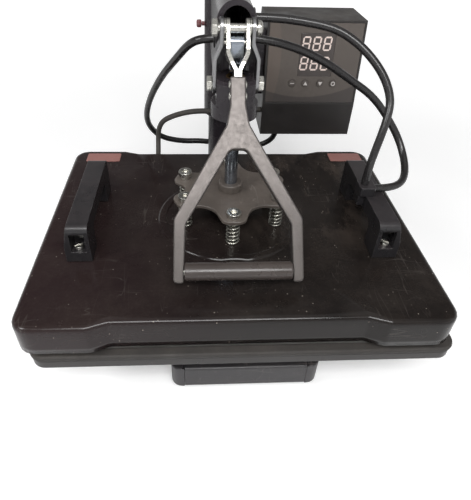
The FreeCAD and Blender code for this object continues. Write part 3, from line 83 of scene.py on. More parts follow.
Colour = tuple[float, float, float]
Point = tuple[float, float, float]
SLOT_OF = {part["node"]: part["material_slot"] for part in frame["record"]["subparts"]}
RAM_AXIS = Vector((-0.00425, -0.0385, 0.0))


# Finishes

class Grain(Enum):
    """Which way the fine noise of a finish is drawn out, as its stretch along X, Y and Z."""

    EVEN = (1.0, 1.0, 1.0)
    ALONG_X = (0.03, 1.0, 1.0)
    ALONG_Z = (1.0, 1.0, 0.03)


class Graph:
    """A material's node tree, with one short method for each kind of node it needs."""

    def __init__(self, name: str) -> None:
        """Start a material with a Principled shader and its object coordinates.

        Args:
            name: the material's name.
        """
        self.material = bpy.data.materials.new(name)
        self.material.use_nodes = True
        self.tree = self.material.node_tree
        self.shader = self.tree.nodes["Principled BSDF"]
        self.place = self.node("ShaderNodeTexCoord").outputs["Object"]

    def node(self, kind: str, **settings: object) -> bpy.types.Node:
        """A new node of that kind, with its properties set.

        Args:
            kind: the node's type.
            **settings: its properties, by name.

        Returns:
            The node.
        """
        made = self.tree.nodes.new(kind)
        for name, value in settings.items():
            setattr(made, name, value)
        return made

    def feed(self, socket: bpy.types.NodeSocket, value: object) -> None:
        """Link an output into a socket, or write a plain value there.

        Args:
            socket: the input to fill.
            value: an output, or a number or colour.
        """
        if isinstance(value, bpy.types.NodeSocket):
            self.tree.links.new(value, socket)
        else:
            socket.default_value = value

    def set(self, name: str, value: object) -> None:
        """Give one of the shader's own sockets its value or its link."""
        self.feed(self.shader.inputs[name], value)

    def noise(self, scale: float, detail: float = 3.0, stretch: Sequence[float] = (1, 1, 1),
              rough: float = 0.55) -> bpy.types.NodeSocket:
        """Noise from 0 to 1, with scale cells to the metre, drawn out by stretch.

        Args:
            scale: cells to the metre.
            detail: how many finer layers are added.
            stretch: factors on X, Y and Z; a small one draws the cells out.
            rough: how strong each finer layer is.

        Returns:
            The noise.
        """
        turned_place = self.node("ShaderNodeMapping")
        self.feed(turned_place.inputs["Vector"], self.place)
        turned_place.inputs["Scale"].default_value = tuple(stretch)
        made = self.node("ShaderNodeTexNoise")
        self.feed(made.inputs["Vector"], turned_place.outputs["Vector"])
        made.inputs["Scale"].default_value = scale
        made.inputs["Detail"].default_value = detail
        made.inputs["Roughness"].default_value = rough
        return made.outputs["Fac"]

    def span(self, value: bpy.types.NodeSocket, low: float, high: float,
             to_low: float = 0.0, to_high: float = 1.0) -> bpy.types.NodeSocket:
        """Carry the range low to high onto to_low to to_high, held at both ends.

        Args:
            value: the number to carry.
            low: the value that becomes to_low.
            high: the value that becomes to_high.
            to_low: the result at low.
            to_high: the result at high.

        Returns:
            The carried number.
        """
        made = self.node("ShaderNodeMapRange")
        self.feed(made.inputs["Value"], value)
        for name, number in (("From Min", low), ("From Max", high),
                             ("To Min", to_low), ("To Max", to_high)):
            made.inputs[name].default_value = number
        return made.outputs["Result"]

    def maths(self, operation: str, first: object, second: object = 0.0) -> bpy.types.NodeSocket:
        """One sum, product or other operation on two numbers.

        Args:
            operation: the operation's name.
            first: a number or an output.
            second: a number or an output.

        Returns:
            The result.
        """
        made = self.node("ShaderNodeMath", operation=operation)
        self.feed(made.inputs[0], first)
        self.feed(made.inputs[1], second)
        return made.outputs[0]

    def mix(self, share: object, first: object, second: object) -> bpy.types.NodeSocket:
        """The first colour at share 0, the second at share 1.

        Args:
            share: a number or an output from 0 to 1.
            first: a colour or an output.
            second: a colour or an output.

        Returns:
            The mixed colour.
        """
        made = self.node("ShaderNodeMix", data_type="RGBA")
        self.feed(made.inputs[0], share)
        for socket, value in ((made.inputs[6], first), (made.inputs[7], second)):
            self.feed(socket, (*value, 1.0) if isinstance(value, tuple) else value)
        return made.outputs[2]

    def distance(self, point: Point, stretch: Point = (1.0, 1.0, 1.0)) -> bpy.types.NodeSocket:
        """How far a place lies from a point, each axis counted stretch times.

        Args:
            point: counted from the foot of the ram's axis.
            stretch: a factor on each axis; 0 leaves it out.

        Returns:
            The distance in metres.
        """
        away = self.node("ShaderNodeVectorMath", operation="SUBTRACT")
        self.feed(away.inputs[0], self.place)
        away.inputs[1].default_value = Vector(point) + RAM_AXIS
        wide = self.node("ShaderNodeVectorMath", operation="MULTIPLY")
        self.feed(wide.inputs[0], away.outputs["Vector"])
        wide.inputs[1].default_value = stretch
        length = self.node("ShaderNodeVectorMath", operation="LENGTH")
        self.feed(length.inputs[0], wide.outputs["Vector"])
        return length.outputs["Value"]

    def axis_of(self, source: bpy.types.NodeSocket, axis: str) -> bpy.types.NodeSocket:
        """One axis of a vector.

        Args:
            source: a vector.
            axis: X, Y or Z.

        Returns:
            That number of it.
        """
        made = self.node("ShaderNodeSeparateXYZ")
        self.feed(made.inputs[0], source)
        return made.outputs[axis]


@dataclass(frozen=True)
class Finish:
    """A surface as a maker would call for it: colour, gloss, grain, dust and rubbed edges."""

    name: str
    colour: Colour
    tint: Colour
    rough: tuple[float, float] = (0.4, 0.55)
    metal: float = 0.0
    specular: float = 0.5
    patch: float = 14.0
    grain: Grain = Grain.EVEN
    grain_scale: float = 900.0
    bump: float = 0.15
    bump_depth: float = 0.0002
    dust: float = 0.0
    dust_colour: Colour = (0.34, 0.29, 0.25)
    scratches: float = 0.0
    scratch_colour: Colour = (0.3, 0.27, 0.25)
    wear: float = 0.0
    wear_colour: Colour = (0.5, 0.48, 0.46)
    edge: float = 0.0007

    def colour_of(self, graph: Graph) -> bpy.types.NodeSocket:
        """Mottling between colour and tint, by noise in patches and again in fine spots.

        Args:
            graph: the material's nodes.

        Returns:
            The colour.
        """
        coarse = graph.span(graph.noise(self.patch, 4.0), 0.32, 0.68)
        fine = graph.span(graph.noise(self.patch * 9, 3.0), 0.35, 0.75, 0.0, 0.5)
        return graph.mix(graph.maths("MULTIPLY_ADD", coarse, fine), self.colour, self.tint)

    def scratched(self, graph: Graph) -> bpy.types.NodeSocket:
        """A mask of thin lines: the narrow level band of two noises drawn out crosswise.

        Args:
            graph: the material's nodes.

        Returns:
            The mask, 0 to 1.
        """
        lines = []
        for stretch in ((1.0, 0.09, 1.0), (0.12, 0.8, 1.0)):
            noise = graph.noise(60.0, 2.0, stretch)
            off = graph.maths("ABSOLUTE", graph.maths("SUBTRACT", noise, 0.5))
            lines.append(graph.span(off, 0.0, 0.006, 1.0, 0.0))
        rare = graph.span(graph.noise(21.0, 2.0), 0.5, 0.66)
        both = graph.maths("MAXIMUM", lines[0], lines[1])
        return graph.maths("MULTIPLY", graph.maths("MULTIPLY", both, rare), self.scratches)

    def dusted(self, graph: Graph) -> bpy.types.NodeSocket:
        """A mask of dust: cloudy noise, kept only where the surface looks up.

        Args:
            graph: the material's nodes.

        Returns:
            The mask, 0 to 1.
        """
        normal = graph.node("ShaderNodeNewGeometry").outputs["Normal"]
        upward = graph.span(graph.axis_of(normal, "Z"), 0.3, 0.95)
        cloud = graph.span(graph.noise(17.0, 6.0, rough=0.7), 0.34, 0.72)
        speck = graph.span(graph.noise(420.0, 2.0), 0.45, 0.8, 0.55, 1.0)
        return graph.maths("MULTIPLY", graph.maths("MULTIPLY", upward, cloud),
                           graph.maths("MULTIPLY", speck, self.dust))

    def rubbed(self, graph: Graph, rounded_normal: bpy.types.NodeSocket) -> bpy.types.NodeSocket:
        """A mask of bare edges: where the rounded normal turns off the flat one, in patches.

        Args:
            graph: the material's nodes.
            rounded_normal: the normal with its corners rounded.

        Returns:
            The mask, 0 to 1.
        """
        flat = graph.node("ShaderNodeNewGeometry").outputs["Normal"]
        facing = graph.node("ShaderNodeVectorMath", operation="DOT_PRODUCT")
        graph.feed(facing.inputs[0], flat)
        graph.feed(facing.inputs[1], rounded_normal)
        turned_off = graph.span(facing.outputs["Value"], 0.9, 0.99, 1.0, 0.0)
        patchy = graph.span(graph.noise(90.0, 4.0), 0.42, 0.6)
        return graph.maths("MULTIPLY", graph.maths("MULTIPLY", turned_off, patchy), self.wear)

    def material(self) -> bpy.types.Material:
        """The finish's material, made once and then shared.

        Returns:
            The material.
        """
        known = bpy.data.materials.get(self.name)
        if known:
            return known
        graph = Graph(self.name)
        corner = graph.node("ShaderNodeBevel", samples=4)
        corner.inputs["Radius"].default_value = self.edge
        colour = self.colour_of(graph)
        dirt = None
        if self.scratches:
            colour = graph.mix(self.scratched(graph), colour, self.scratch_colour)
        if self.dust:
            dirt = self.dusted(graph)
            colour = graph.mix(dirt, colour, self.dust_colour)
        if self.wear:
            colour = graph.mix(self.rubbed(graph, corner.outputs["Normal"]), colour,
                               self.wear_colour)
        clouds = graph.noise(self.patch * 4, 4.0, self.grain.value)
        gloss = graph.span(clouds, 0.3, 0.7, *self.rough)
        if dirt is not None:
            gloss = graph.maths("ADD", gloss, graph.maths("MULTIPLY", dirt, 0.35))
        bump = graph.node("ShaderNodeBump")
        bump.inputs["Strength"].default_value = self.bump
        bump.inputs["Distance"].default_value = self.bump_depth
        graph.feed(bump.inputs["Height"], graph.noise(self.grain_scale, 3.0, self.grain.value))
        graph.feed(bump.inputs["Normal"], corner.outputs["Normal"])
        graph.set("Base Color", colour)
        graph.set("Roughness", gloss)
        graph.set("Metallic", self.metal)
        graph.set("Specular IOR Level", self.specular)
        graph.set("Normal", bump.outputs["Normal"])
        return graph.material


@dataclass(frozen=True)
class PrintedFilm(Finish):
    """The control panel's film: dark, with a lighter field at its left and a darker sweep below."""

    sweep_centre: Point = (0.105, 0.16, 0.36)
    sweep_radius: float = 0.157
    field_centre: Point = (-0.115, 0.16, 0.25)
    field_radius: float = 0.186

    def colour_of(self, graph: Graph) -> bpy.types.NodeSocket:
        """Two round fields, each inside or outside a distance from a point, over the mottling.

        Args:
            graph: the material's nodes.

        Returns:
            The colour.
        """
        base = super().colour_of(graph)
        sweep = graph.span(graph.distance(self.sweep_centre, (1.0, 0.0, 1.0)),
                           self.sweep_radius, self.sweep_radius + 0.001)
        field = graph.span(graph.distance(self.field_centre, (1.0, 0.0, 1.0)),
                           self.field_radius, self.field_radius + 0.0015, 1.0, 0.0)
        lit = graph.mix(graph.maths("MULTIPLY", field, 0.5), base, (0.13, 0.1, 0.082))
        return graph.mix(graph.maths("MULTIPLY", sweep, 0.6), lit, (0.024, 0.02, 0.021))


@dataclass(frozen=True)
class Digits(Finish):
    """Pale display segments with a faint painted glow of their own colour."""

    painted_glow: float = 0.35

    def material(self) -> bpy.types.Material:
        """The plain finish with a weak painted glow of its own colour added.

        Returns:
            The material.
        """
        made = super().material()
        shader = made.node_tree.nodes["Principled BSDF"]
        # Painted glow: the segments give off faint light of their own.
        shader.inputs["Emission Color"].default_value = (*self.colour, 1.0)
        shader.inputs["Emission Strength"].default_value = self.painted_glow
        return made


@dataclass(frozen=True)
class PressedCover(Finish):
    """The cover's paint: a painted purplish sheen towards the left, with wiped dust behind and to
    the right.
    """

    wiped: Point = (0.085, 0.05, 0.13)
    painted_sheen_centre: Point = (-0.2, 0.0, 0.13)

    def colour_of(self, graph: Graph) -> bpy.types.NodeSocket:
        """The mottling, with a painted sheen near the left end, and smeared round the place that
        was wiped.

        Args:
            graph: the material's nodes.

        Returns:
            The colour.
        """
        base = super().colour_of(graph)
        # Painted sheen: a purplish tint, fading away from the left end, stands in for a reflection.
        left = graph.span(graph.distance(self.painted_sheen_centre, (1.0, 0.35, 1.0)), 0.02, 0.22, 0.85, 0.0)
        with_painted_sheen = graph.mix(left, base, (0.022, 0.012, 0.013))
        near = graph.span(graph.distance(self.wiped, (0.8, 1.0, 1.0)), 0.03, 0.13, 1.0, 0.0)
        smear = graph.span(graph.noise(13.0, 7.0, (1.0, 0.45, 1.0), 0.72), 0.45, 0.62)
        smeared = graph.mix(graph.maths("MULTIPLY", near, smear), with_painted_sheen, (0.09, 0.07, 0.058))
        cell = graph.node("ShaderNodeTexVoronoi")
        graph.feed(cell.inputs["Vector"], graph.place)
        cell.inputs["Scale"].default_value = 150.0
        speck = graph.span(cell.outputs["Distance"], 0.05, 0.11, 1.0, 0.0)
        few = graph.span(graph.noise(70.0, 2.0), 0.5, 0.58)
        return graph.mix(graph.maths("MULTIPLY", speck, few), smeared, (0.24, 0.21, 0.18))


FINISHES = {
    "frame_charcoal": Finish("charcoal paint", (0.024, 0.022, 0.025), (0.042, 0.039, 0.041),
                             (0.3, 0.42), dust=0.2, dust_colour=(0.11, 0.1, 0.095), scratches=0.4,
                             wear=0.35, bump=0.1, wear_colour=(0.16, 0.15, 0.15)),
    "black_rubber": Finish("black rubber", (0.012, 0.012, 0.013), (0.026, 0.025, 0.024), (0.6, 0.8),
                           dust=0.2, dust_colour=(0.12, 0.1, 0.09), bump=0.3),
    "zinc": Finish("bright zinc", (0.7, 0.69, 0.64), (0.5, 0.49, 0.45), (0.2, 0.38), metal=1.0,
                   patch=60.0, bump=0.12, dust=0.12),
    "grey_zinc": Finish("grey zinc", (0.4, 0.4, 0.4), (0.24, 0.24, 0.25), (0.24, 0.42), metal=1.0,
                        patch=50.0, grain=Grain.ALONG_Z, bump=0.2, dust=0.1),
    "spring_steel": Finish("spring wire", (0.6, 0.59, 0.53), (0.36, 0.35, 0.31), (0.2, 0.36),
                           metal=1.0, patch=90.0, bump=0.15),
    "bright_steel": Finish("ground steel", (0.46, 0.5, 0.55), (0.26, 0.29, 0.34), (0.14, 0.28),
                           metal=1.0, patch=50.0, grain=Grain.ALONG_Z, bump=0.18),
    "bronze": Finish("bearing bronze", (0.5, 0.33, 0.15), (0.34, 0.22, 0.1), (0.3, 0.5), metal=1.0),
    "black_paint": Finish("black paint", (0.012, 0.010, 0.013), (0.027, 0.022, 0.026), (0.2, 0.34),
                          specular=0.35, dust=0.16, dust_colour=(0.13, 0.11, 0.11), scratches=0.35,
                          wear=0.4, bump=0.1, wear_colour=(0.14, 0.13, 0.13)),
    "cover_black": PressedCover("glossy cover black", (0.005, 0.0045, 0.0045),
                                (0.013, 0.010, 0.009), (0.12, 0.24), specular=0.3, patch=10.0,
                                dust=0.3, dust_colour=(0.075, 0.06, 0.05), scratches=0.45,
                                scratch_colour=(0.075, 0.066, 0.06), wear=0.5, bump=0.1,
                                wear_colour=(0.2, 0.17, 0.15)),
    "alloy": Finish("cast alloy", (0.5, 0.5, 0.49), (0.36, 0.36, 0.35), (0.3, 0.5), metal=1.0,
                    grain=Grain.ALONG_X, bump=0.25),
    "black_alloy": Finish("black coated alloy", (0.014, 0.012, 0.012), (0.03, 0.027, 0.026),
                          (0.26, 0.4), dust=0.15, dust_colour=(0.12, 0.1, 0.09), wear=0.4,
                          bump=0.15, wear_colour=(0.16, 0.15, 0.145)),
    "silicone": Finish("silicone sponge", (0.018, 0.016, 0.015), (0.035, 0.031, 0.028), (0.6, 0.8),
                       grain_scale=1500.0, bump=0.5, dust=0.12),
    "element_steel": Finish("oxidised steel", (0.2, 0.17, 0.15), (0.32, 0.24, 0.18), (0.4, 0.6),
                            metal=0.9),
    "insulation": Finish("felted wool", (0.7, 0.66, 0.55), (0.55, 0.5, 0.4), (0.85, 0.95),
                         bump=0.8, bump_depth=0.0006),
    "fork_grey": Finish("textured grey coat", (0.15, 0.136, 0.129), (0.085, 0.076, 0.072),
                        (0.36, 0.48), metal=0.75, grain_scale=1500.0, bump=0.35, patch=60.0,
                        wear=0.5, wear_colour=(0.42, 0.39, 0.375), dust=0.1),
    "grip_dark": Finish("dark grip", (0.03, 0.024, 0.022), (0.055, 0.044, 0.04),
                        (0.24, 0.34), dust=0.1, bump=0.2),
    "star_brown": Finish("dull brown coat", (0.05, 0.042, 0.037), (0.125, 0.105, 0.09),
                         (0.34, 0.5), patch=22.0, dust=0.35, dust_colour=(0.19, 0.16, 0.14),
                         scratches=0.5, wear=0.5, bump=0.25, wear_colour=(0.2, 0.18, 0.16)),
    "moulded_black": Finish("moulded black", (0.009, 0.009, 0.011), (0.022, 0.02, 0.021),
                            (0.24, 0.36), dust=0.3, dust_colour=(0.13, 0.1, 0.1), wear=0.35,
                            bump=0.2, edge=0.001, wear_colour=(0.16, 0.15, 0.15)),
    "shell_black": Finish("textured black coat", (0.008, 0.008, 0.009), (0.022, 0.018, 0.016),
                          (0.34, 0.5), dust=0.5, dust_colour=(0.1, 0.08, 0.06), bump=0.35,
                          grain_scale=1600.0, wear=0.45, wear_colour=(0.17, 0.14, 0.12)),
    "panel_dark": PrintedFilm("printed film", (0.066, 0.055, 0.049), (0.1, 0.084, 0.073),
                              (0.36, 0.48), bump=0.4, grain_scale=1800.0, patch=20.0),
    "window_dark": Finish("display window", (0.072, 0.06, 0.055), (0.052, 0.044, 0.042),
                          (0.16, 0.24), bump=0.03),
    "board_green": Finish("lacquered board", (0.02, 0.12, 0.06), (0.03, 0.2, 0.09), (0.25, 0.4)),
    "button_black": Finish("button film", (0.066, 0.055, 0.049), (0.09, 0.075, 0.066), (0.32, 0.42),
                           bump=0.2),
    "switch_black": Finish("switch black", (0.012, 0.012, 0.013), (0.026, 0.026, 0.026),
                           (0.12, 0.22)),
    "inlet_black": Finish("inlet black", (0.014, 0.014, 0.014), (0.03, 0.03, 0.03), (0.3, 0.45),
                          bump=0.25),
    "knob_red": Finish("worn red knob", (0.2, 0.035, 0.04), (0.11, 0.03, 0.035), (0.3, 0.5),
                       dust=0.2, wear=0.5),
    "cable_black": Finish("cable jacket", (0.007, 0.007, 0.008), (0.02, 0.018, 0.018), (0.2, 0.32),
                          dust=0.12, dust_colour=(0.14, 0.12, 0.11), bump=0.15),
    "braid_grey": Finish("wrapped braid", (0.028, 0.025, 0.022), (0.07, 0.062, 0.055), (0.55, 0.75),
                         grain_scale=700.0, bump=0.8, bump_depth=0.0006, patch=120.0),
}
LABEL = Finish("plain label", (0.24, 0.095, 0.085), (0.34, 0.16, 0.14), (0.3, 0.5), patch=60.0,
               dust=0.2, dust_colour=(0.3, 0.22, 0.2))
PALE_MARK = Finish("pale print", (0.6, 0.57, 0.55), (0.5, 0.47, 0.45), (0.4, 0.55), patch=300.0)
SEGMENTS = Digits("pale segments", (0.6, 0.5, 0.46), (0.54, 0.45, 0.41), (0.3, 0.4), patch=200.0)
# A near-black disc in the eyelet's hole stands in for the shade inside it: painted shade.
PAINTED_HOLE_SHADE = Finish("painted hole shade", (0.004, 0.004, 0.004), (0.01, 0.008, 0.008), (0.6, 0.8))


# Shapes

class Axis(Enum):
    """An axis that a turned or swept piece runs along, as the columns of its rotation."""

    X = ((0, 1, 0), (0, 0, 1), (1, 0, 0))
    Y = ((0, 0, 1), (1, 0, 0), (0, 1, 0))
    Z = ((1, 0, 0), (0, 1, 0), (0, 0, 1))

    def at(self, centre: Point = (0.0, 0.0, 0.0)) -> Matrix:
        """The matrix that lays local Z along this axis at centre."""
        return Matrix.Translation(centre) @ Matrix(self.value).transposed().to_4x4()


def finished_mesh(name: str, points: np.ndarray, faces: list, angle: float = 35.0
                  ) -> bpy.types.Object:
    """An object from points and faces: doubles merged, faces turned outwards, edges smoothed.

    Args:
        name: the object's name.
        points: an array of rows of three numbers.
        faces: lists of indices into points.
        angle: edges that turn by more than this many degrees stay sharp.

    Returns:
        The linked object, at the origin.
    """
    mesh = bpy.data.meshes.new(name)
    mesh.from_pydata(np.asarray(points, float).reshape(-1, 3).tolist(), [], faces)
    return smoothed(name, mesh, angle)


def smoothed(name: str, mesh: bpy.types.Mesh, angle: float, merge: float = 2e-6,
             flat: float = 0.0) -> bpy.types.Object:
    """Merge a mesh's doubles, turn its faces outwards, and shade it smooth up to an angle.

    Args:
        name: the object's name.
        mesh: the mesh, which is changed.
        angle: edges that turn by more than this many degrees stay sharp.
        merge: points closer than this are one.
        flat: where above 0, faces that turn by less than this many degrees are joined.

    Returns:
        The linked object, at the origin.
    """
    work = bmesh.new()
    work.from_mesh(mesh)
    bmesh.ops.remove_doubles(work, verts=work.verts, dist=merge)
    bmesh.ops.dissolve_degenerate(work, edges=work.edges, dist=merge)
    if flat:
        bmesh.ops.dissolve_limit(work, angle_limit=math.radians(flat), verts=work.verts,
                                 edges=work.edges)
    bmesh.ops.recalc_face_normals(work, faces=work.faces)
    work.to_mesh(mesh)
    work.free()
    mesh.shade_smooth()
    mesh.set_sharp_from_angle(angle=math.radians(angle))
    made = bpy.data.objects.new(name, mesh)
    bpy.context.scene.collection.objects.link(made)
    return made


def lofted(name: str, rings: np.ndarray, looped: bool = False, angle: float = 35.0,
           open_ends: bool = False) -> bpy.types.Object:
    """Join rings of points with four-sided faces: face (r, s) has corners r..r+1 by s..s+1.

    Args:
        name: the object's name.
        rings: an array of rings by points by three; each ring closes on itself.
        looped: the last ring is joined to the first, as in a washer.
        angle: edges that turn by more than this many degrees stay sharp.
        open_ends: leave out the faces that close both ends.

    Returns:
        The linked object.
    """
    count, sides = rings.shape[:2]
    row = np.arange(count if looped else count - 1)[:, None]
    side = np.arange(sides)[None, :]
    above, beside = (row + 1) % count, (side + 1) % sides
    quads = np.stack([row * sides + side, row * sides + beside,
                      above * sides + beside, above * sides + side], axis=-1)
    faces = quads.reshape(-1, 4).tolist()
    if not (looped or open_ends):
        faces.append(list(range(sides))[::-1])
        faces.append(list(range((count - 1) * sides, count * sides)))
    return finished_mesh(name, rings, faces, angle)


def turned(name: str, profile: Sequence[tuple[float, float]], centre: Point = (0.0, 0.0, 0.0),
           axis: Axis = Axis.Z, looped: bool = False, sides: int = 56,
           wave: Optional[np.ndarray] = None) -> bpy.types.Object:
    """Turn a profile: its point (r, h) runs round at (r cos a, r sin a, h) for a over a full turn.

    Args:
        name: the object's name.
        profile: pairs of radius and height along the axis.
        centre: where height 0 lies.
        axis: the axis it is turned about.
        looped: the profile closes on itself, as round a bore.
        sides: points in each ring.
        wave: where given, a factor on the radius for each side, as for flutes.

    Returns:
        The linked object.
    """
    radius, height = np.array(profile, float).T
    turn = np.arange(sides) / sides * 2 * math.pi
    factor = np.ones(sides) if wave is None else wave
    rings = np.stack([radius[:, None] * np.cos(turn) * factor,
                      radius[:, None] * np.sin(turn) * factor,
                      np.repeat(height[:, None], sides, axis=1)], axis=-1)
    return lofted(name, moved(rings, axis.at(centre)), looped)


def moved(points: np.ndarray, place: Matrix) -> np.ndarray:
    """Carry points with a matrix: each row times the rotation, plus the translation."""
    whole = np.array(place)
    return points @ whole[:3, :3].T + whole[:3, 3]


def eased_rod(radius: float, length: float, ease: float, bore: float = 0.0
              ) -> list[tuple[float, float]]:
    """The profile of a rod from height 0 to length, its rims eased by three steps of a quarter arc.

    Args:
        radius: the outside radius.
        length: the length along the axis.
        ease: the radius of the rims.
        bore: the radius of a hole right through; the profile then loops.

    Returns:
        Pairs of radius and height.
    """
    arc = np.radians([0.0, 30.0, 60.0, 90.0])
    low = [(radius - ease + ease * math.sin(a), ease - ease * math.cos(a)) for a in arc]
    high = [(r, length - h) for r, h in reversed(low)]
    ends = [(bore, 0.0)], [(bore, length)]
    return ends[0] + low + high + ends[1]


def rounded(corners: Sequence[tuple[float, float, float]], steps: int = 6, between: int = 0
            ) -> np.ndarray:
    """A closed outline through corners, each turned with an arc.

    The arc's middle lies on the corner's bisector at radius / sin(half the angle); its points are
    the start and end spokes blended by sin((1 - t) A) and sin(t A), over sin A.

    Args:
        corners: rows of x, y and radius.
        steps: points on each arc.
        between: points added evenly on each straight run.

    Returns:
        An array of rows of two numbers.
    """
    rows = np.array(corners, float)
    here, radius = rows[:, :2], rows[:, 2:3]
    back = np.roll(here, 1, axis=0) - here
    ahead = np.roll(here, -1, axis=0) - here
    back /= np.linalg.norm(back, axis=1, keepdims=True)
    ahead /= np.linalg.norm(ahead, axis=1, keepdims=True)
    half = np.arccos(np.clip((back * ahead).sum(1, keepdims=True), -1, 1)) / 2
    inward = (back + ahead) / np.linalg.norm(back + ahead, axis=1, keepdims=True)
    middle = here + inward * radius / np.sin(half)
    start = here + back * radius / np.tan(half)
    end = here + ahead * radius / np.tan(half)
    sweep = (math.pi - 2 * half)[:, None, :]
    share = np.linspace(0, 1, steps)[None, :, None]
    spokes = (np.sin((1 - share) * sweep) * (start - middle)[:, None]
              + np.sin(share * sweep) * (end - middle)[:, None]) / np.sin(sweep)
    loop = middle[:, None] + spokes
    if between:
        run = np.linspace(0, 1, between + 2)[None, 1:-1, None]
        following = np.roll(start, -1, axis=0)[:, None]
        loop = np.concatenate([loop, end[:, None] * (1 - run) + following * run], axis=1)
    return loop.reshape(-1, 2)


def rectangle(x0: float, x1: float, y0: float, y1: float, corner: float, steps: int = 6
              ) -> np.ndarray:
    """A rectangle's outline with rounded corners."""
    return rounded([(x0, y0, corner), (x1, y0, corner), (x1, y1, corner), (x0, y1, corner)], steps)


def circle(x: float, y: float, radius: float, sides: int = 40) -> np.ndarray:
    """A circle's outline: (x + r cos a, y + r sin a)."""
    turn = np.arange(sides) / sides * 2 * math.pi
    return np.stack([x + radius * np.cos(turn), y + radius * np.sin(turn)], axis=-1)


def plate(name: str, outlines: Sequence[np.ndarray], low: float, high: float, edge: float,
          place: Optional[Matrix] = None) -> bpy.types.Object:
    """A flat piece cut to its outlines, later ones being holes, with every rim rounded.

    Args:
        name: the object's name.
        outlines: closed outlines in the local X and Y.
        low: the local Z of its underside.
        high: the local Z of its top.
        edge: the radius of the rims.
        place: the matrix that carries local to row frame.

    Returns:
        The linked object.
    """
    drawing = bpy.data.curves.new(name, "CURVE")
    drawing.dimensions = "2D"
    drawing.fill_mode = "BOTH"
    drawing.extrude = (high - low) / 2 - edge
    drawing.bevel_depth = edge
    drawing.bevel_resolution = 2
    drawing.offset = -edge
    for outline in outlines:
        gap = np.linalg.norm(outline - np.roll(outline, 1, axis=0), axis=1)
        kept = outline[gap > 1e-6]
        spline = drawing.splines.new("POLY")
        spline.points.add(len(kept) - 1)
        spline.points.foreach_set("co", np.pad(kept, ((0, 0), (0, 2))).ravel())
        spline.use_cyclic_u = True
    holder = bpy.data.objects.new(name, drawing)
    bpy.context.scene.collection.objects.link(holder)
    bpy.context.view_layer.update()
    solid = holder.evaluated_get(bpy.context.evaluated_depsgraph_get())
    mesh = bpy.data.meshes.new_from_object(solid)
    bpy.data.objects.remove(holder)
    bpy.data.curves.remove(drawing)
    lift = Matrix.Translation((0, 0, (low + high) / 2))
    mesh.transform((place or Matrix.Identity(4)) @ lift)
    mesh.name = name
    made = smoothed(name, mesh, 40.0)
    made.modifiers.new("even shading", "WEIGHTED_NORMAL").keep_sharp = True
    return made


def joined(name: str, parts: Sequence[bpy.types.Object]) -> bpy.types.Object:
    """Several objects as one piece of that name.

    Args:
        name: the new object's name.
        parts: objects, which are used up.

    Returns:
        The linked object.
    """
    work = bmesh.new()
    for part in parts:
        work.from_mesh(part.data)
    mesh = bpy.data.meshes.new(name)
    work.to_mesh(mesh)
    work.free()
    for part in parts:
        bpy.data.objects.remove(part)
    made = bpy.data.objects.new(name, mesh)
    bpy.context.scene.collection.objects.link(made)
    made.modifiers.new("even shading", "WEIGHTED_NORMAL").keep_sharp = True
    return made


def hexagon(across: float) -> np.ndarray:
    """A hexagon's outline from its width across flats."""
    return circle(0.0, 0.0, across / math.sqrt(3), 6)


def nut(name: str, across: float, height: float, place: Matrix, bore: float = 0.0
        ) -> bpy.types.Object:
    """A hexagon nut or bolt head, its corners eased, with a thin round washer face under it.

    Args:
        name: its name.
        across: its width across flats.
        height: from its seat to its top.
        place: from its seat's frame, Z outwards, to the piece's.
        bore: the radius of its hole, none at 0.

    Returns:
        The linked object.
    """
    outlines = [hexagon(across)] + ([circle(0, 0, bore)] if bore else [])
    body = plate(name, outlines, 0.0004, height, 0.0006, place)
    face = plate(name + "_face", [circle(0, 0, across * 0.49)] + outlines[1:], 0.0, 0.0006, 0.0002,
                 place)
    return joined(name, [body, face])


def copied(name: str, node: str, edge: float) -> bpy.types.Object:
    """A clean copy of a node's mesh, its flats joined and, where asked, its edges rounded.

    Args:
        name: the new object's name.
        node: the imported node.
        edge: the width of the rounding, none at 0.

    Returns:
        The linked object.
    """
    made = smoothed(name, frame["nodes"][node].data.copy(), 32.0, 1e-5, 0.6)
    made["in_place"] = True
    if edge:
        rounding = made.modifiers.new("edges", "BEVEL")
        rounding.width = edge
        rounding.segments = 2
        rounding.limit_method = "ANGLE"
        rounding.angle_limit = math.radians(38)
        rounding.harden_normals = True
    made.modifiers.new("even shading", "WEIGHTED_NORMAL").keep_sharp = True
    return made


def put(made: bpy.types.Object, nodes: Iterable[str] = (), body: str = "", slot: str = "",
        finish: Optional[Finish] = None, bend: Optional[tuple] = None) -> bpy.types.Object:
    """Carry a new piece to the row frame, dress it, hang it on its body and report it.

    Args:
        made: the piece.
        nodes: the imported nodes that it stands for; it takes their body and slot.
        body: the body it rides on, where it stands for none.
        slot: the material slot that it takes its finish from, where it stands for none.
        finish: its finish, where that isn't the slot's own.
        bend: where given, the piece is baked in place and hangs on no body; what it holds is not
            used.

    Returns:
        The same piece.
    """
    if not made.get("in_place"):
        made.data.transform(Matrix.Translation(RAM_AXIS))
    nodes = list(nodes)
    if nodes:
        body = body or frame["nodes"][nodes[0]]["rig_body"]
        slot = slot or SLOT_OF[nodes[0]]
        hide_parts(*nodes)
    made.data.materials.clear()
    made.data.materials.append((finish or FINISHES[slot]).material())
    if bend:
        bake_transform(made)
    else:
        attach(made, body)
    log.info("%s rides on %s", made.name, body)
    return made


def put_copies(*rows: tuple[str, str, float]) -> None:
    """Copy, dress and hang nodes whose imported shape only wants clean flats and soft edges.

    Args:
        *rows: each piece's name, its node and the width of its edges' rounding.
    """
    for name, node, edge in rows:
        put(copied(name, node, edge), [node])


# The base

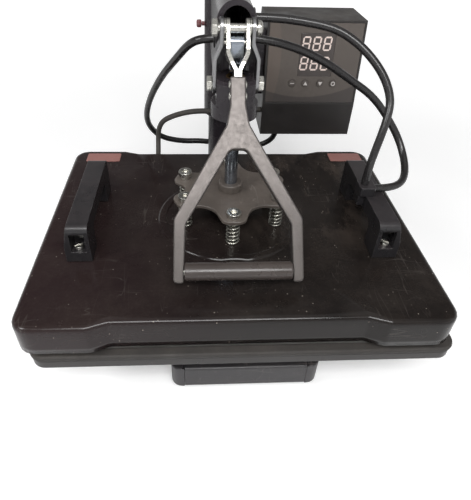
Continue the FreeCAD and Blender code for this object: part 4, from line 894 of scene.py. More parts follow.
@dataclass
class Base:
    """The frame of square rails on feet, the stand and the lower platen."""

    left: float = -0.066
    right: float = 0.090
    front: float = -0.147
    rail: float = 0.034
    cap: float = 0.014
    foot: float = 0.008
    top: float = 0.038
    rear_start: float = 0.156
    rear_end: float = 0.216
    wall: float = 0.0025
    post_back: float = 0.186
    middle: float = -0.0095
    lower_shift: float = 0.0075
    lower_half: float = 0.2
    lower_half_depth: float = 0.158
    flange_top: float = 0.044
    stand_top: float = 0.074
    lower_top: float = 0.084
    pad_top: float = 0.09

    def section(self, start: float, end: float, wall: float) -> list[np.ndarray]:
        """A rail's section, drawn across and up, with the hollow inside it.

        Args:
            start: the near side.
            end: the far side.
            wall: the wall's thickness; the rail is solid at 0.

        Returns:
            The outlines.
        """
        outside = rectangle(start, end, self.foot, self.top, 0.003, 5)
        if not wall:
            return [outside]
        return [outside, rectangle(start + wall, end - wall, self.foot + wall, self.top - wall,
                                   0.001, 4)]

    def build(self) -> None:
        """Make and dress every piece of the base."""
        self.build_rails()
        self.build_stand()
        self.build_bolts()

    def build_rails(self) -> None:
        """The four rails, the front corners and the feet."""
        behind = self.front + self.rail
        put(plate("front_rail", self.section(self.front, behind, self.wall),
                  self.left + self.cap + 0.0002, self.right - self.cap - 0.0002, 0.0004,
                  Axis.X.at()), ["base_front_rail"])
        corners = []
        for name, outside, inside in (("left_corner", self.left, self.left + self.cap),
                                      ("right_corner", self.right, self.right - self.cap)):
            outline = rounded([(outside, self.front, 0.011), (outside, behind, 0.0008),
                               (inside, behind, 0.0004), (inside, self.front, 0.0004)])
            corners.append(plate(name, [outline], self.foot, self.top, 0.0016))
        put(joined("corner_caps", corners), ["base_corner_caps"])
        sides = []
        across = Matrix(((0, 1, 0, 0), (0, 0, 1, 0), (1, 0, 0, 0), (0, 0, 0, 1)))
        for name, start in (("left_rail", self.left), ("right_rail", self.right - self.rail)):
            outlines = [outline[:, ::-1] for outline in self.section(start, start + self.rail,
                                                                     self.wall)]
            sides.append(plate(name, outlines, behind, self.rear_start, 0.0004, across))
        put(joined("side_rails", sides), ["base_side_rails"])
        put(plate("rear_rail", self.section(self.rear_start, self.rear_end, 0.0), self.left,
                  self.right, 0.0016, Axis.X.at()), ["base_rear_rail"])
        profile = [(0.0, 0.0), (0.0085, 0.0), (0.0095, 0.0006), (0.0118, 0.0012), (0.012, 0.003),
                   (0.0116, 0.0075), (0.0108, 0.008), (0.0, 0.008)]
        feet = [turned(f"foot_{index}", profile, (x, y, 0.0), sides=40)
                for index, (x, y) in enumerate([(self.left + 0.02, self.front + 0.02),
                                                (self.right - 0.02, self.front + 0.02),
                                                (self.left + 0.02, self.post_back),
                                                (self.right - 0.02, self.post_back)])]
        put(joined("feet", feet), ["rubber_feet"])

    def build_stand(self) -> None:
        """The stand with its welds, the lower platen and its pad."""
        mid = self.middle
        foot = plate("stand_foot", [rectangle(self.left, self.right, mid - 0.045, mid + 0.045,
                                              0.004)], self.top, self.flange_top, 0.0008)
        column = turned("stand_column", [(0.0, 0.0), (0.0325, 0.0), (0.0318, 0.0012),
                                         (0.0292, 0.0032), (0.028, 0.006), (0.028, 0.02),
                                         (0.0292, 0.0228), (0.0318, 0.0248), (0.0325, 0.026),
                                         (0.0, 0.026)], (0.0, mid, self.flange_top))
        head = plate("stand_head", [rectangle(-0.08, 0.08, mid - 0.06, mid + 0.06, 0.005)],
                     0.070, self.stand_top, 0.0008)
        put(joined("stand", [foot, column, head]), ["platen_stand"])
        x, half, depth = self.lower_shift, self.lower_half, self.lower_half_depth
        put(plate("lower_plate", [rectangle(x - half, x + half, mid - depth, mid + depth, 0.014,
                                            10)], self.stand_top, self.lower_top, 0.0012),
            ["lower_platen"])
        put(plate("sponge_pad", [rectangle(x - half - 0.001, x + half + 0.001, mid - depth - 0.001,
                                           mid + depth + 0.001, 0.015, 10)],
                  self.lower_top, self.pad_top, 0.0022), ["silicone_pad"])

    def build_bolts(self) -> None:
        """The eight bolts of the base and the post's flange."""
        centre = (self.left + self.right) / 2
        places = [(centre + side * 0.061, self.middle + row * 0.031)
                  for side in (-1, 1) for row in (-1, 1)]
        places += [(side * 0.021, self.post_back + row * 0.021) for side in (-1, 1)
                   for row in (-1, 1)]
        heads = [nut(f"base_head_{index}", 0.013, 0.0053,
                     Matrix.Translation((x, y, self.flange_top))
                     @ Matrix.Rotation(0.3 * index, 4, "Z"))
                 for index, (x, y) in enumerate(places)]
        put(joined("base_heads", heads), ["base_bolts"])
        holes = [circle(x, y - self.post_back, 0.0041) for x, y in places[4:]]
        square = rectangle(-0.028, 0.028, -0.028, 0.028, 0.003)
        put(plate("flange", [square] + holes, self.top, self.flange_top, 0.0008,
                  Matrix.Translation((0, self.post_back, 0))), ["post_flange"])


# The arm on its post

@dataclass
class Arm:
    """The post, the arm that swings on it, the ram's sleeve and the pivot above it."""

    post_back: float = 0.186
    pivot: float = 0.3263
    sleeve_top: float = 0.285
    arm_half: float = 0.018
    low_hole: float = 0.307
    high_hole: float = 0.326
    hole_back: float = 0.04
    post_radius: float = 0.019
    post_bore: float = 0.016
    post_low: float = 0.044
    sleeve_radius: float = 0.025
    sleeve_low: float = 0.1783
    collar_low: float = 0.172
    cap_low: float = 0.346
    stud_start: float = -0.02845
    knob_start: float = -0.0348
    bolt_seat: float = 0.0172
    washer_start: float = 0.0105
    washer: float = 0.0016

    def build(self) -> None:
        """Make and dress every piece of the post and the arm."""
        self.build_post()
        self.build_arm()
        self.build_pivot()

    def build_post(self) -> None:
        """The post, its collar, and the sleeve and cap that turn on it."""
        back = self.post_back
        post = eased_rod(self.post_radius, 0.294, 0.0006, self.post_bore)
        # Painted shade: the post's bright steel lies in shade, so it takes the black paint finish.
        put(turned("post_tube", post, (0, back, self.post_low), looped=True, sides=72), ["post"],
            slot="black_paint")
        collar = eased_rod(self.sleeve_radius, 0.006, 0.0012, 0.01905)
        put(turned("collar", collar, (0, back, self.collar_low), looped=True, sides=72),
            ["post_collar"])
        sleeve = eased_rod(self.sleeve_radius, 0.1677, 0.0008, 0.02205)
        put(turned("turning_sleeve", sleeve, (0, back, self.sleeve_low), looped=True, sides=72),
            ["swing_sleeve"])
        cap = [(0.0, 0.0), (0.0255, 0.0), (0.026, 0.0006), (0.026, 0.0034), (0.0252, 0.0046),
               (0.0225, 0.0055), (0.014, 0.006), (0.0, 0.006)]
        put(turned("cap", cap, (0, back, self.cap_low), sides=72), ["sleeve_cap"])
        flutes = 1 + 0.05 * np.cos(np.arange(64) / 64 * 2 * math.pi * 16)
        stud = turned("lock_stud", eased_rod(0.0025, 0.0034, 0.0003),
                      (self.stud_start, back, self.sleeve_top), Axis.X, sides=24)
        knob = turned("lock_knob", [(0.0, 0.0), (0.0028, 0.0), (0.0038, 0.0006), (0.0043, 0.0016),
                                    (0.0043, 0.005), (0.0036, 0.006), (0.0, 0.0063)],
                      (self.knob_start, back, self.sleeve_top), Axis.X, sides=64, wave=flutes)
        put(joined("lock_knob_and_stud", [stud, knob]), ["lock_screw"])

    def build_arm(self) -> None:
        """The round-topped arm, the ram's guide, the box's bracket, the bushes and the grommets."""
        put_copies(("arm", "arm_housing", 0.0008), ("ram_guide", "ram_sleeve", 0.0005),
                   ("box_bracket", "controller_bracket", 0.0005), ("bushes", "plain_bushes", 0.0))
        rings = []
        for index, (side, height) in enumerate([(-1, self.low_hole), (1, self.low_hole),
                                                (1, self.high_hole)]):
            profile = [(0.0045, -0.005), (0.0059, -0.005), (0.0059, -0.0001), (0.0078, -0.0001),
                       (0.0085, 0.0004), (0.0085, 0.001), (0.0077, 0.0014), (0.0056, 0.0015),
                       (0.0045, 0.0008)]
            rings.append(turned(f"ring_{index}", [(r, h * side) for r, h in profile],
                                (side * self.arm_half, self.hole_back, height), Axis.X, True, 40))
        put(joined("grommets", rings), ["cable_grommets"])

    def build_pivot(self) -> None:
        """The brackets, and the bolt, nut and washers of the handle's pivot."""
        put_copies(("brackets", "pivot_brackets", 0.0006))
        seat = self.bolt_seat
        head = turned("bolt_head", [(0.0, 0.0), (0.0064, 0.0), (0.0065, 0.0003), (0.0065, 0.0028),
                                    (0.0058, 0.0038), (0.0042, 0.0047), (0.0028, 0.0052),
                                    (0.0026, 0.0046), (0.0, 0.0044)], (seat, 0, self.pivot), Axis.X)
        shank = turned("bolt_shank", eased_rod(0.004, 0.0397, 0.0005), (-0.0225, 0, self.pivot),
                       Axis.X)
        put(joined("pivot_bolt_solid", [head, shank]), ["pivot_bolt"])
        put(nut("pivot_hex", 0.013, 0.0053, Matrix.Translation((-seat, 0, self.pivot))
                @ Matrix.Rotation(-math.pi / 2, 4, "Y"), 0.0041), ["pivot_nut"])
        ring = eased_rod(0.008, self.washer, 0.0003, 0.0041)
        starts = (self.washer_start, -self.washer_start - self.washer)
        discs = [turned(f"disc_{index}", ring, (x, 0, self.pivot), Axis.X, True)
                 for index, x in enumerate(starts)]
        put(joined("discs", discs), ["pivot_washers"])
        screws = []
        for side in (-1, 1):
            turn = Matrix.Rotation(side * math.pi / 2, 4, "Y")
            screws.append(nut(f"bracket_head_{side}", 0.0125, 0.0053,
                              Matrix.Translation((side * 0.02135, 0, 0.278)) @ turn))
        put(joined("bracket_heads", screws), ["bracket_bolts"])


# The handle

@dataclass
class Handle:
    """The forked handle in its own frame: Y along it from the pivot, Z out of its back."""

    pivot: float = 0.3263
    drop: float = 0.175
    reach: float = 0.2136
    half_thick: float = 0.00525
    strap_side: float = 0.0068
    rivets: tuple[float, float] = (0.048, 0.058)
    bar_start: float = -0.058
    bar_length: float = 0.116
    grip_start: float = -0.0491

    def place(self) -> Matrix:
        """From the handle's frame to the row frame: turned about X by 180 degrees plus its dip."""
        dip = math.asin(self.drop / self.reach)
        return Matrix.Translation((0, 0, self.pivot)) @ Matrix.Rotation(math.pi + dip, 4, "X")

    def fork_outline(self) -> np.ndarray:
        """The open fork as one outline: up its right side, round the window, and down its left.

        Returns:
            Rows of x and y.
        """
        right = [(0.0068, 0.042, 0.0015), (0.0068, 0.066, 0.006), (0.010, 0.083, 0.014),
                 (0.058, 0.166, 0.012), (0.0595, 0.2237, 0.004), (0.050, 0.2237, 0.002),
                 (0.0475, 0.171, 0.008), (0.007, 0.105, 0.006)]
        return rounded(right + [(-x, y, radius) for x, y, radius in reversed(right)], 9)

    def build(self) -> None:
        """Make and dress every piece that turns with the handle."""
        place = self.place()
        put(plate("fork", [self.fork_outline()], -self.half_thick, self.half_thick, 0.0015, place),
            ["handle_fork"])
        put(self.turned_in(place, "grip_bar", eased_rod(0.004, self.bar_length, 0.0008),
                           self.bar_start), ["grip_rod"])
        grip = [(0.0041, 0.0), (0.0078, 0.0), (0.0084, 0.0006), (0.0085, 0.0014), (0.0085, 0.0966),
                (0.0084, 0.0974), (0.0078, 0.0982), (0.0041, 0.0982)]
        put(self.turned_in(place, "grip_tube", grip, self.grip_start, looped=True), ["handle_grip"])
        put_copies(("straps", "pivot_straps", 0.0006), ("crank", "crank_pin", 0.0003))
        dome = [(0.0, 0.0), (0.0036, 0.0), (0.0034, 0.0006), (0.0026, 0.0011), (0.0012, 0.0014),
                (0.0, 0.0014)]
        rivets = []
        for index, distance in enumerate(self.rivets):
            for side in (-1, 1):
                turn = Matrix.Rotation(side * math.pi / 2, 4, "Y")
                spot = place @ Matrix.Translation((side * self.strap_side, distance, 0)) @ turn
                rivet = turned(f"rivet_{index}_{side}", dome, sides=24)
                rivet.data.transform(spot)
                rivets.append(rivet)
        put(joined("rivets", rivets), ["strap_rivets"])

    def turned_in(self, place: Matrix, name: str, profile: Sequence[tuple[float, float]],
                  start: float, looped: bool = False) -> bpy.types.Object:
        """A turned piece across the handle's end, from start along X.

        Args:
            place: from the handle's frame to the row frame.
            name: its name.
            profile: pairs of radius and height.
            start: its left end.
            looped: the profile closes on itself.

        Returns:
            The linked object.
        """
        made = turned(name, profile, (start, self.reach, 0.0), Axis.X, looped, 64)
        made.data.transform(place)
        return made


# The ram and its suspension

@dataclass
class Ram:
    """The toggle link, the ram, the star plate, and the bolts and springs that hold the platen."""

    star_low: float = 0.159
    star_high: float = 0.163
    spacer_top: float = 0.1672
    cover_top: float = 0.13
    front: float = 0.0525
    side: float = 0.0495
    side_back: float = 0.0215
    coil_radius: float = 0.0062
    wire_radius: float = 0.001
    coil_start: float = 0.0015
    coil_rise: float = 0.0258
    spring_top: float = 0.1587
    pressed: float = 0.825
    bolt_low: float = 0.0973

    def places(self) -> list[tuple[float, float]]:
        """Where the six bolts stand, front first and then round to the right."""
        return [(0, -self.front), (self.side, -self.side_back), (self.side, self.side_back),
                (0, self.front), (-self.side, self.side_back), (-self.side, -self.side_back)]

    def build(self) -> None:
        """Make and dress every piece between the handle and the platen."""
        put_copies(("link", "toggle_link", 0.0005), ("ram", "ram_rod", 0.0004),
                   ("star", "star_plate", 0.0008))
        put(turned("ram_cross_pin", eased_rod(0.003, 0.0126, 0.0004), (-0.0063, 0, 0.2933), Axis.X),
            ["ram_pin"])
        collar = turned("collar_ring", [(0.00685, 0.0), (0.0126, 0.0), (0.013, 0.0005),
                                        (0.013, 0.0078), (0.0122, 0.0088), (0.0112, 0.009),
                                        (0.00685, 0.009)], (0, 0, self.star_high), looped=True)
        under = nut("under_nut", 0.022, 0.008, Matrix.Translation((0, 0, self.star_low - 0.008)),
                    0.00685)
        put(joined("ram_collars", [collar, under]), ["ram_nuts"], slot="star_brown")
        self.build_bolts()
        coils = joined("coils", [self.coil(index, x, y) for index, (x, y)
                                 in enumerate(self.places())])
        put(coils, ["suspension_springs"])
        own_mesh(coils)

    def build_bolts(self) -> None:
        """Round heads with a hexagon socket, each over a washer, and the spacers at the back."""
        bolts, spacers = [], []
        for index, (x, y) in enumerate(self.places()):
            seat = self.spacer_top if y > 0 else self.star_high
            place = Matrix.Translation((x, y, seat))
            rim = plate(f"rim_{index}", [circle(0, 0, 0.0075), hexagon(0.006)], 0.0012, 0.005,
                        0.0007, place)
            disc = plate(f"disc_{index}", [circle(0, 0, 0.0074)], 0.0, 0.0016, 0.0004, place)
            shank = turned(f"shank_{index}", eased_rod(0.004, seat - self.bolt_low, 0.0004),
                           (x, y, self.bolt_low), sides=32)
            bolts += [rim, disc, shank]
            if y > 0:
                spacers.append(turned(f"spacer_{index}", eased_rod(0.0055, 0.0042, 0.0005, 0.00405),
                                      (x, y, self.star_high), looped=True, sides=40))
        put(joined("bolts", bolts), ["suspension_bolts"])
        put(joined("spacers", spacers), ["rear_spacers"])

    def coil(self, index: int, x: float, y: float) -> bpy.types.Object:
        """One spring: its wire's middle runs at (R cos a, R sin a, h(a)).

        The height h rises evenly but for a flat turn at either end. Each section is a circle
        across the wire, spanned by the outward spoke and the cross product of spoke and run.

        Args:
            index: which of the six springs it is; it also turns the coil.
            x: the bolt's place across.
            y: the bolt's place to the back.

        Returns:
            The linked object.
        """
        turns, steps, sides = 7.0, 330, 12
        angle = np.linspace(0, turns * 2 * math.pi, steps)
        share = np.clip((angle / (2 * math.pi) - 0.75) / (turns - 1.5), 0, 1)
        height = self.cover_top + self.coil_start + share * self.coil_rise
        spoke = np.stack([np.cos(angle), np.sin(angle), np.zeros(steps)], axis=-1)
        line = spoke * self.coil_radius
        line[:, 2] = height
        run = np.gradient(line, axis=0)
        run /= np.linalg.norm(run, axis=1, keepdims=True)
        across = np.cross(run, spoke)
        turn = np.arange(sides) / sides * 2 * math.pi
        outward, sideways = np.cos(turn)[None, :, None], np.sin(turn)[None, :, None]
        rings = line[:, None] + self.wire_radius * (spoke[:, None] * outward
                                                    + across[:, None] * sideways)
        place = Matrix.Translation((x, y, 0)) @ Matrix.Rotation(math.radians(60 * index), 4, "Z")
        return lofted(f"coil_{index}", moved(rings, place), angle=60.0)


# The heated platen

@dataclass
class Platen:
    """The pressed cover with its ring, labels and side handles, and what lies inside it."""

    half_width: float = 0.2
    front: float = -0.1695
    back: float = 0.1505
    bottom: float = 0.098
    top: float = 0.13
    corner: float = 0.018
    fold: float = 0.005
    sheet: float = 0.002
    step: float = 0.0065
    step_inside: float = 0.116
    step_outside: float = 0.134
    ring_width: float = 0.0755
    ring_depth: float = 0.073
    ring_middle: float = -0.008
    screw_side: float = 0.1535
    screw_rows: tuple[float, float] = (-0.0745, 0.0425)
    pocket: float = 0.012
    label_starts: tuple[float, float] = (-0.183, 0.146)
    label_wide: float = 0.044
    label_front: float = 0.1195
    label_back: float = 0.1405
    eyelet_side: float = -0.0625
    eyelet_back: float = -0.012

    def outline(self, inset: float) -> np.ndarray:
        """The cover from above, drawn in by inset, with steps in its front and back edges.

        Args:
            inset: how far it is drawn in.

        Returns:
            Rows of x and y.
        """
        half, front, back = self.half_width - inset, self.front + inset, self.back - inset
        corner = self.corner - inset
        right = [(self.step_inside, front + self.step, 0.012), (self.step_outside, front, 0.012),
                 (half, front, corner), (half, back, corner), (self.step_outside, back, 0.012),
                 (self.step_inside, back - self.step, 0.012)]
        return rounded(right + [(-x, y, radius) for x, y, radius in reversed(right)], 7, 12)

    def relief(self, x: np.ndarray, y: np.ndarray) -> np.ndarray:
        """Height added to the flat top outside its ring.

        Creases of 1.1 mm run inwards from the four steps, each exp(-(aside / 6 mm)^2) across and
        fading along; a slow wave of the sheet is added to them.

        Args:
            x: places across.
            y: places to the back.

        Returns:
            Heights, of the same shape.
        """
        height = np.zeros_like(x)
        for side in (-1, 1):
            for start, end in (((0.125, self.front), (0.078, -0.098)),
                               ((0.125, self.back), (0.08, 0.07))):
                origin = np.array([side * start[0], start[1]])
                run = np.array([side * end[0], end[1]]) - origin
                long = np.linalg.norm(run)
                along = ((x - origin[0]) * run[0] + (y - origin[1]) * run[1]) / long
                aside = ((x - origin[0]) * run[1] - (y - origin[1]) * run[0]) / long
                fade = np.clip(1 - along / long, 0, 1) * np.clip(along / 0.01, 0, 1)
                height += 0.0011 * np.exp(-(aside / 0.006) ** 2) * fade
        slow = (0.00022 * np.sin(x * 31 + 1.3) * np.cos(y * 27 - 0.4)
                + 0.00012 * np.sin(x * 67 - y * 43))
        edge = np.clip((self.half_width - 0.006 - np.abs(x)) / 0.02, 0, 1)
        return height + slow * edge

    def build(self) -> None:
        """Make and dress every piece of the platen."""
        self.build_cover()
        self.build_inside()
        self.build_handles()
        self.build_labels()

    def skirt(self) -> list[np.ndarray]:
        """Loops up the cover's wall and round its fold, a quarter arc from wall to top.

        Returns:
            Arrays of points, from the bottom up.
        """
        flat = self.top - self.fold
        loops = [(0.0, height) for height in np.linspace(self.bottom, flat, 5)]
        loops += [(self.fold * (1 - math.cos(angle)), flat + self.fold * math.sin(angle))
                  for angle in np.radians([15, 30, 45, 60, 75, 90])]
        outlines = [(self.outline(inset), height) for inset, height in loops]
        return [np.column_stack([loop, np.full(len(loop), height)]) for loop, height in outlines]

    def crown(self) -> list[np.ndarray]:
        """Loops over the top: blended from the edge to an oval, then the oval shrunk to its middle.

        A point of the oval lies where its spoke meets (x/a)^2 + (y/b)^2 = 1, drawn in by 5% close
        to the front bolt. The raised band is 1.5 mm high where the loop is within 5% of the oval.

        Returns:
            Arrays of points, from the edge inwards.
        """
        edge = self.outline(self.fold)
        middle = np.array([0.0, self.ring_middle])
        spoke = edge - middle
        reach = 1 / np.hypot(spoke[:, 0] / self.ring_width, spoke[:, 1] / self.ring_depth)
        turn = np.arctan2(spoke[:, 0], -spoke[:, 1])
        reach *= 1 - 0.05 * np.exp(-(turn / 0.13) ** 2)
        oval = spoke * reach[:, None]
        outer = middle + oval * 1.09
        loops = [edge + (outer - edge) * share for share in np.linspace(0, 1, 62)[1:]]
        inner = np.concatenate([np.linspace(1.09, 0.91, 25)[1:], np.linspace(0.91, 0.0, 24)[1:]])
        loops += [middle + oval * share for share in inner]
        shares = np.concatenate([np.full(61, 2.0), inner])
        raised = 0.0015 * np.clip((0.062 - np.abs(shares - 1)) / 0.014, 0, 1)
        return [np.column_stack([loop, self.top + lift + self.relief(loop[:, 0], loop[:, 1])])
                for loop, lift in zip(loops, raised)]

    def build_cover(self) -> None:
        """The pressed cover: one sheet from its wall over its fold to the middle of its top."""
        cover = lofted("cover", np.array(self.skirt() + self.crown()), open_ends=True, angle=50.0)
        wall = cover.modifiers.new("sheet", "SOLIDIFY")
        wall.thickness = self.sheet
        wall.offset = -1.0
        put(cover, ["platen_cover"])

    def build_inside(self) -> None:
        """The heated plate under the cover, its element and the insulation over it."""
        put(plate("hot_plate", [rectangle(-0.19, 0.19, -0.1595, 0.1405, 0.012, 8)], 0.0903, 0.1043,
                  0.001), ["heat_platen"])
        put_copies(("element", "heating_element", 0.0), ("sheet", "insulation_sheet", 0.0))

    def build_handles(self) -> None:
        """The side handles and the slotted screws in their pockets, and the cable clamp."""
        put_copies(("bridges", "side_handles", 0.0012), ("clamp", "cable_entries", 0.001))
        slot_half, head = 0.0006, circle(0, 0, 0.0045, 48)
        screws = []
        for index, (x, y) in enumerate([(sign * self.screw_side, place) for sign in (-1, 1)
                                        for place in self.screw_rows]):
            seat = (Matrix.Translation((x, y, self.top + self.pocket))
                    @ Matrix.Rotation(0.5 + index, 4, "Z"))
            halves = []
            for sign in (-1, 1):
                kept = head[head[:, 1] * sign > slot_half]
                kept = kept[np.argsort(np.arctan2(kept[:, 1], kept[:, 0] * sign))]
                halves.append(plate(f"half_{index}_{sign}", [kept], 0.0018, 0.0035, 0.0004, seat))
            disc = plate(f"screw_disc_{index}", [head], 0.0, 0.0019, 0.0003, seat)
            shank = turned(f"screw_shank_{index}", eased_rod(0.0025, 0.014, 0.0003),
                           (x, y, self.top - 0.002), sides=24)
            screws += halves + [disc, shank]
        put(joined("handle_screws", screws), ["side_handle_screws"])

    def build_labels(self) -> None:
        """Two bare labels near the back edge and the eyelet at the left of the ring, with a dark
        disc of painted shade in its hole.
        """
        for name, start in zip(("left_label", "right_label"), self.label_starts):
            outline = rectangle(start, start + self.label_wide, self.label_front, self.label_back,
                                0.0018)
            label = plate(name, [outline], self.top - 0.0004, self.top + 0.0007, 0.0002)
            put(label, body="platen", slot="cover_black", finish=LABEL)
        spot = (self.eyelet_side, self.eyelet_back, self.top - 0.0002)
        eyelet = turned("eyelet", [(0.0012, 0.0), (0.0028, 0.0), (0.003, 0.0006), (0.0022, 0.0012),
                                   (0.0014, 0.001)], spot, looped=True, sides=32)
        put(eyelet, body="platen", slot="cover_black")
        # Painted shade: a dark disc fills the eyelet's hole where there is only shade.
        painted_shade_disc = turned("eyelet_painted_shade", [(0.0, 0.0), (0.0013, 0.0), (0.0013, 0.0007), (0.0, 0.0007)],
                      spot, sides=24)
        put(painted_shade_disc, body="platen", slot="cover_black", finish=PAINTED_HOLE_SHADE)


# The control box

@dataclass
class ControlBox:
    """The controller: a shell, a film panel with a window and digits, buttons, inlet and switch."""

    left: float = 0.052
    front: float = 0.1605
    low: float = 0.15
    lip: float = 0.043
    slope: float = 0.012
    height: float = 0.144
    digit_tall: float = 0.0148
    digit_wide: float = 0.0083
    digit_pitch: float = 0.0134
    stroke: float = 0.0019
    digit_start: float = 0.0505
    digit_rows: tuple[float, float] = (0.0750, 0.0515)
    digit_lean: float = 0.1
    button_up: float = 0.027
    fuse_across: float = 0.144
    fuse_up: float = 0.18

    def face(self) -> Matrix:
        """From the panel's own frame, X across and Y up the leaning face, to the row frame.

        Returns:
            The matrix.
        """
        lean = math.atan2(self.slope, self.height - self.lip)
        return (Matrix.Translation((self.left, self.front, self.low + self.lip))
                @ Matrix.Rotation(math.pi / 2 - lean, 4, "X"))

    def build(self) -> None:
        """Make and dress every piece of the control box."""
        put_copies(("shell", "controller_shell", 0.0009), ("panel", "controller_panel", 0.0003),
                   ("window", "display_window", 0.0002), ("board", "control_board", 0.0),
                   ("inlet", "power_inlet", 0.0006), ("rocker", "power_switch", 0.0005))
        put(self.fuse(), ["fuse_holder"])
        self.build_buttons()
        self.build_digits()

    def fuse(self) -> bpy.types.Object:
        """The fuse holder: a threaded body inside and a fluted cap with a slot outside.

        Returns:
            The linked object.
        """
        flutes = 1 + 0.03 * np.cos(np.arange(72) / 72 * 2 * math.pi * 18)
        inside = turned("fuse_body", eased_rod(0.006, 0.022, 0.0005),
                        (self.fuse_across, 0.2185, self.fuse_up), Axis.Y)
        cap = turned("fuse_cap", [(0.0, 0.0), (0.0076, 0.0), (0.0078, 0.001), (0.0076, 0.0052),
                                  (0.0066, 0.006), (0.003, 0.006), (0.0028, 0.0052), (0.0, 0.005)],
                     (self.fuse_across, 0.2405, self.fuse_up), Axis.Y, sides=72, wave=flutes)
        return joined("fuse", [inside, cap])

    def build_buttons(self) -> None:
        """Four low round buttons, with a dash, two arrows and a ring printed on them."""
        face = self.face()
        marks = {"set_button": (0.037, self.dash()), "raise_button": (0.0545, self.arrow(1)),
                 "lower_button": (0.074, self.arrow(-1)), "start_button": (0.091, self.ring())}
        profile = [(0.0, -0.0037), (0.006, -0.0037), (0.006, -0.0022), (0.0045, -0.0022),
                   (0.0045, 0.0007), (0.0042, 0.0011), (0.0036, 0.0012), (0.0, 0.0012)]
        for node, (x, outlines) in marks.items():
            spot = face @ Matrix.Translation((x, self.button_up, 0))
            cap = turned(node.replace("button", "cap"), profile, sides=40)
            cap.data.transform(spot)
            put(cap, [node])
            mark = plate(node.replace("button", "mark"), outlines, 0.00115, 0.0013, 0.00004, spot)
            put(mark, body=node, slot="button_black", finish=PALE_MARK)

    def dash(self) -> list[np.ndarray]:
        """A short bar."""
        return [rectangle(-0.0026, 0.0026, -0.0006, 0.0006, 0.0003, 4)]

    def arrow(self, sense: int) -> list[np.ndarray]:
        """A triangle that points up or down.

        Args:
            sense: 1 for up, -1 for down.

        Returns:
            Its outline.
        """
        corners = [(-0.0028, -0.0022 * sense, 0.0002), (0.0028, -0.0022 * sense, 0.0002),
                   (0.0, 0.0026 * sense, 0.0002)]
        return [rounded(corners[::sense], 4)]

    def ring(self) -> list[np.ndarray]:
        """A ring with an open middle."""
        return [circle(0, 0, 0.0028), circle(0, 0, 0.0016)]

    def segment(self, along_x: bool, length: float) -> np.ndarray:
        """One bar of a digit, pointed at both ends, about its own middle.

        Args:
            along_x: it lies across, not upright.
            length: from point to point.

        Returns:
            Its outline.
        """
        half, thick = length / 2, self.stroke / 2
        bar = np.array([(-half, 0), (-half + thick, -thick), (half - thick, -thick), (half, 0),
                        (half - thick, thick), (-half + thick, thick)])
        return bar if along_x else bar[:, ::-1]

    def build_digits(self) -> None:
        """Two rows of three eights: seven bars each, leaned over by a tenth of their height."""
        wide, tall = self.digit_wide, self.digit_tall
        bars = [(True, 0, tall / 2), (True, 0, 0), (True, 0, -tall / 2)]
        bars += [(False, side * wide / 2, row * tall / 4) for side in (-1, 1) for row in (-1, 1)]
        outlines = []
        for row, up in enumerate(self.digit_rows):
            for column in range(3):
                middle = np.array([self.digit_start + column * self.digit_pitch - row * 0.0006, up])
                for flat, x, y in bars:
                    length = (wide if flat else tall / 2) - 0.0005
                    bar = self.segment(flat, length) + np.array([x, y])
                    bar[:, 0] += bar[:, 1] * self.digit_lean
                    outlines.append(bar + middle)
        digits = plate("digits", outlines, -0.00035, 0.00012, 0.00005, self.face())
        put(digits, body="arm", slot="window_dark", finish=SEGMENTS)


# The cables

@dataclass(frozen=True)
class Cable:
    """A free cable along its route; both its ends lie in the press.

    Its mesh is baked where it lies and hangs on no body; still and moving are passed to put() but
    not used there.
    """

    name: str
    node: str
    radius: float
    length: float
    still: Point
    moving: Point
    route: tuple[Point, ...]

    def drawn(self, radius: float) -> bpy.types.Mesh:
        """The mesh of the smooth curve whose control points are the route, bare at radius 0.

        Args:
            radius: the tube's radius; a bare line at 0.

        Returns:
            The mesh.
        """
        curve = bpy.data.curves.new(self.name, "CURVE")
        curve.dimensions = "3D"
        curve.bevel_depth = radius
        curve.bevel_resolution = 6
        curve.use_fill_caps = True
        curve.resolution_u = 14
        spline = curve.splines.new("NURBS")
        spline.points.add(len(self.route) - 1)
        points = np.pad(np.array(self.route), ((0, 0), (0, 1)), constant_values=1.0)
        spline.points.foreach_set("co", points.ravel())
        spline.order_u = 3
        spline.use_endpoint_u = True
        curve.transform(Matrix.Translation(RAM_AXIS))
        holder = bpy.data.objects.new(self.name, curve)
        bpy.context.scene.collection.objects.link(holder)
        bpy.context.view_layer.update()
        mesh = bpy.data.meshes.new_from_object(
            holder.evaluated_get(bpy.context.evaluated_depsgraph_get()))
        bpy.data.objects.remove(holder)
        bpy.data.curves.remove(curve)
        return mesh

    def build(self) -> None:
        """The round tube on the curve, baked in place."""
        path = [tuple(point.co) for point in self.drawn(0.0).vertices]
        made = smoothed(self.name, self.drawn(self.radius), 50.0)
        made["in_place"] = True
        put(made, [self.node], bend=("arm", "ram", Vector(self.still) + RAM_AXIS,
                                     Vector(self.moving) + RAM_AXIS))


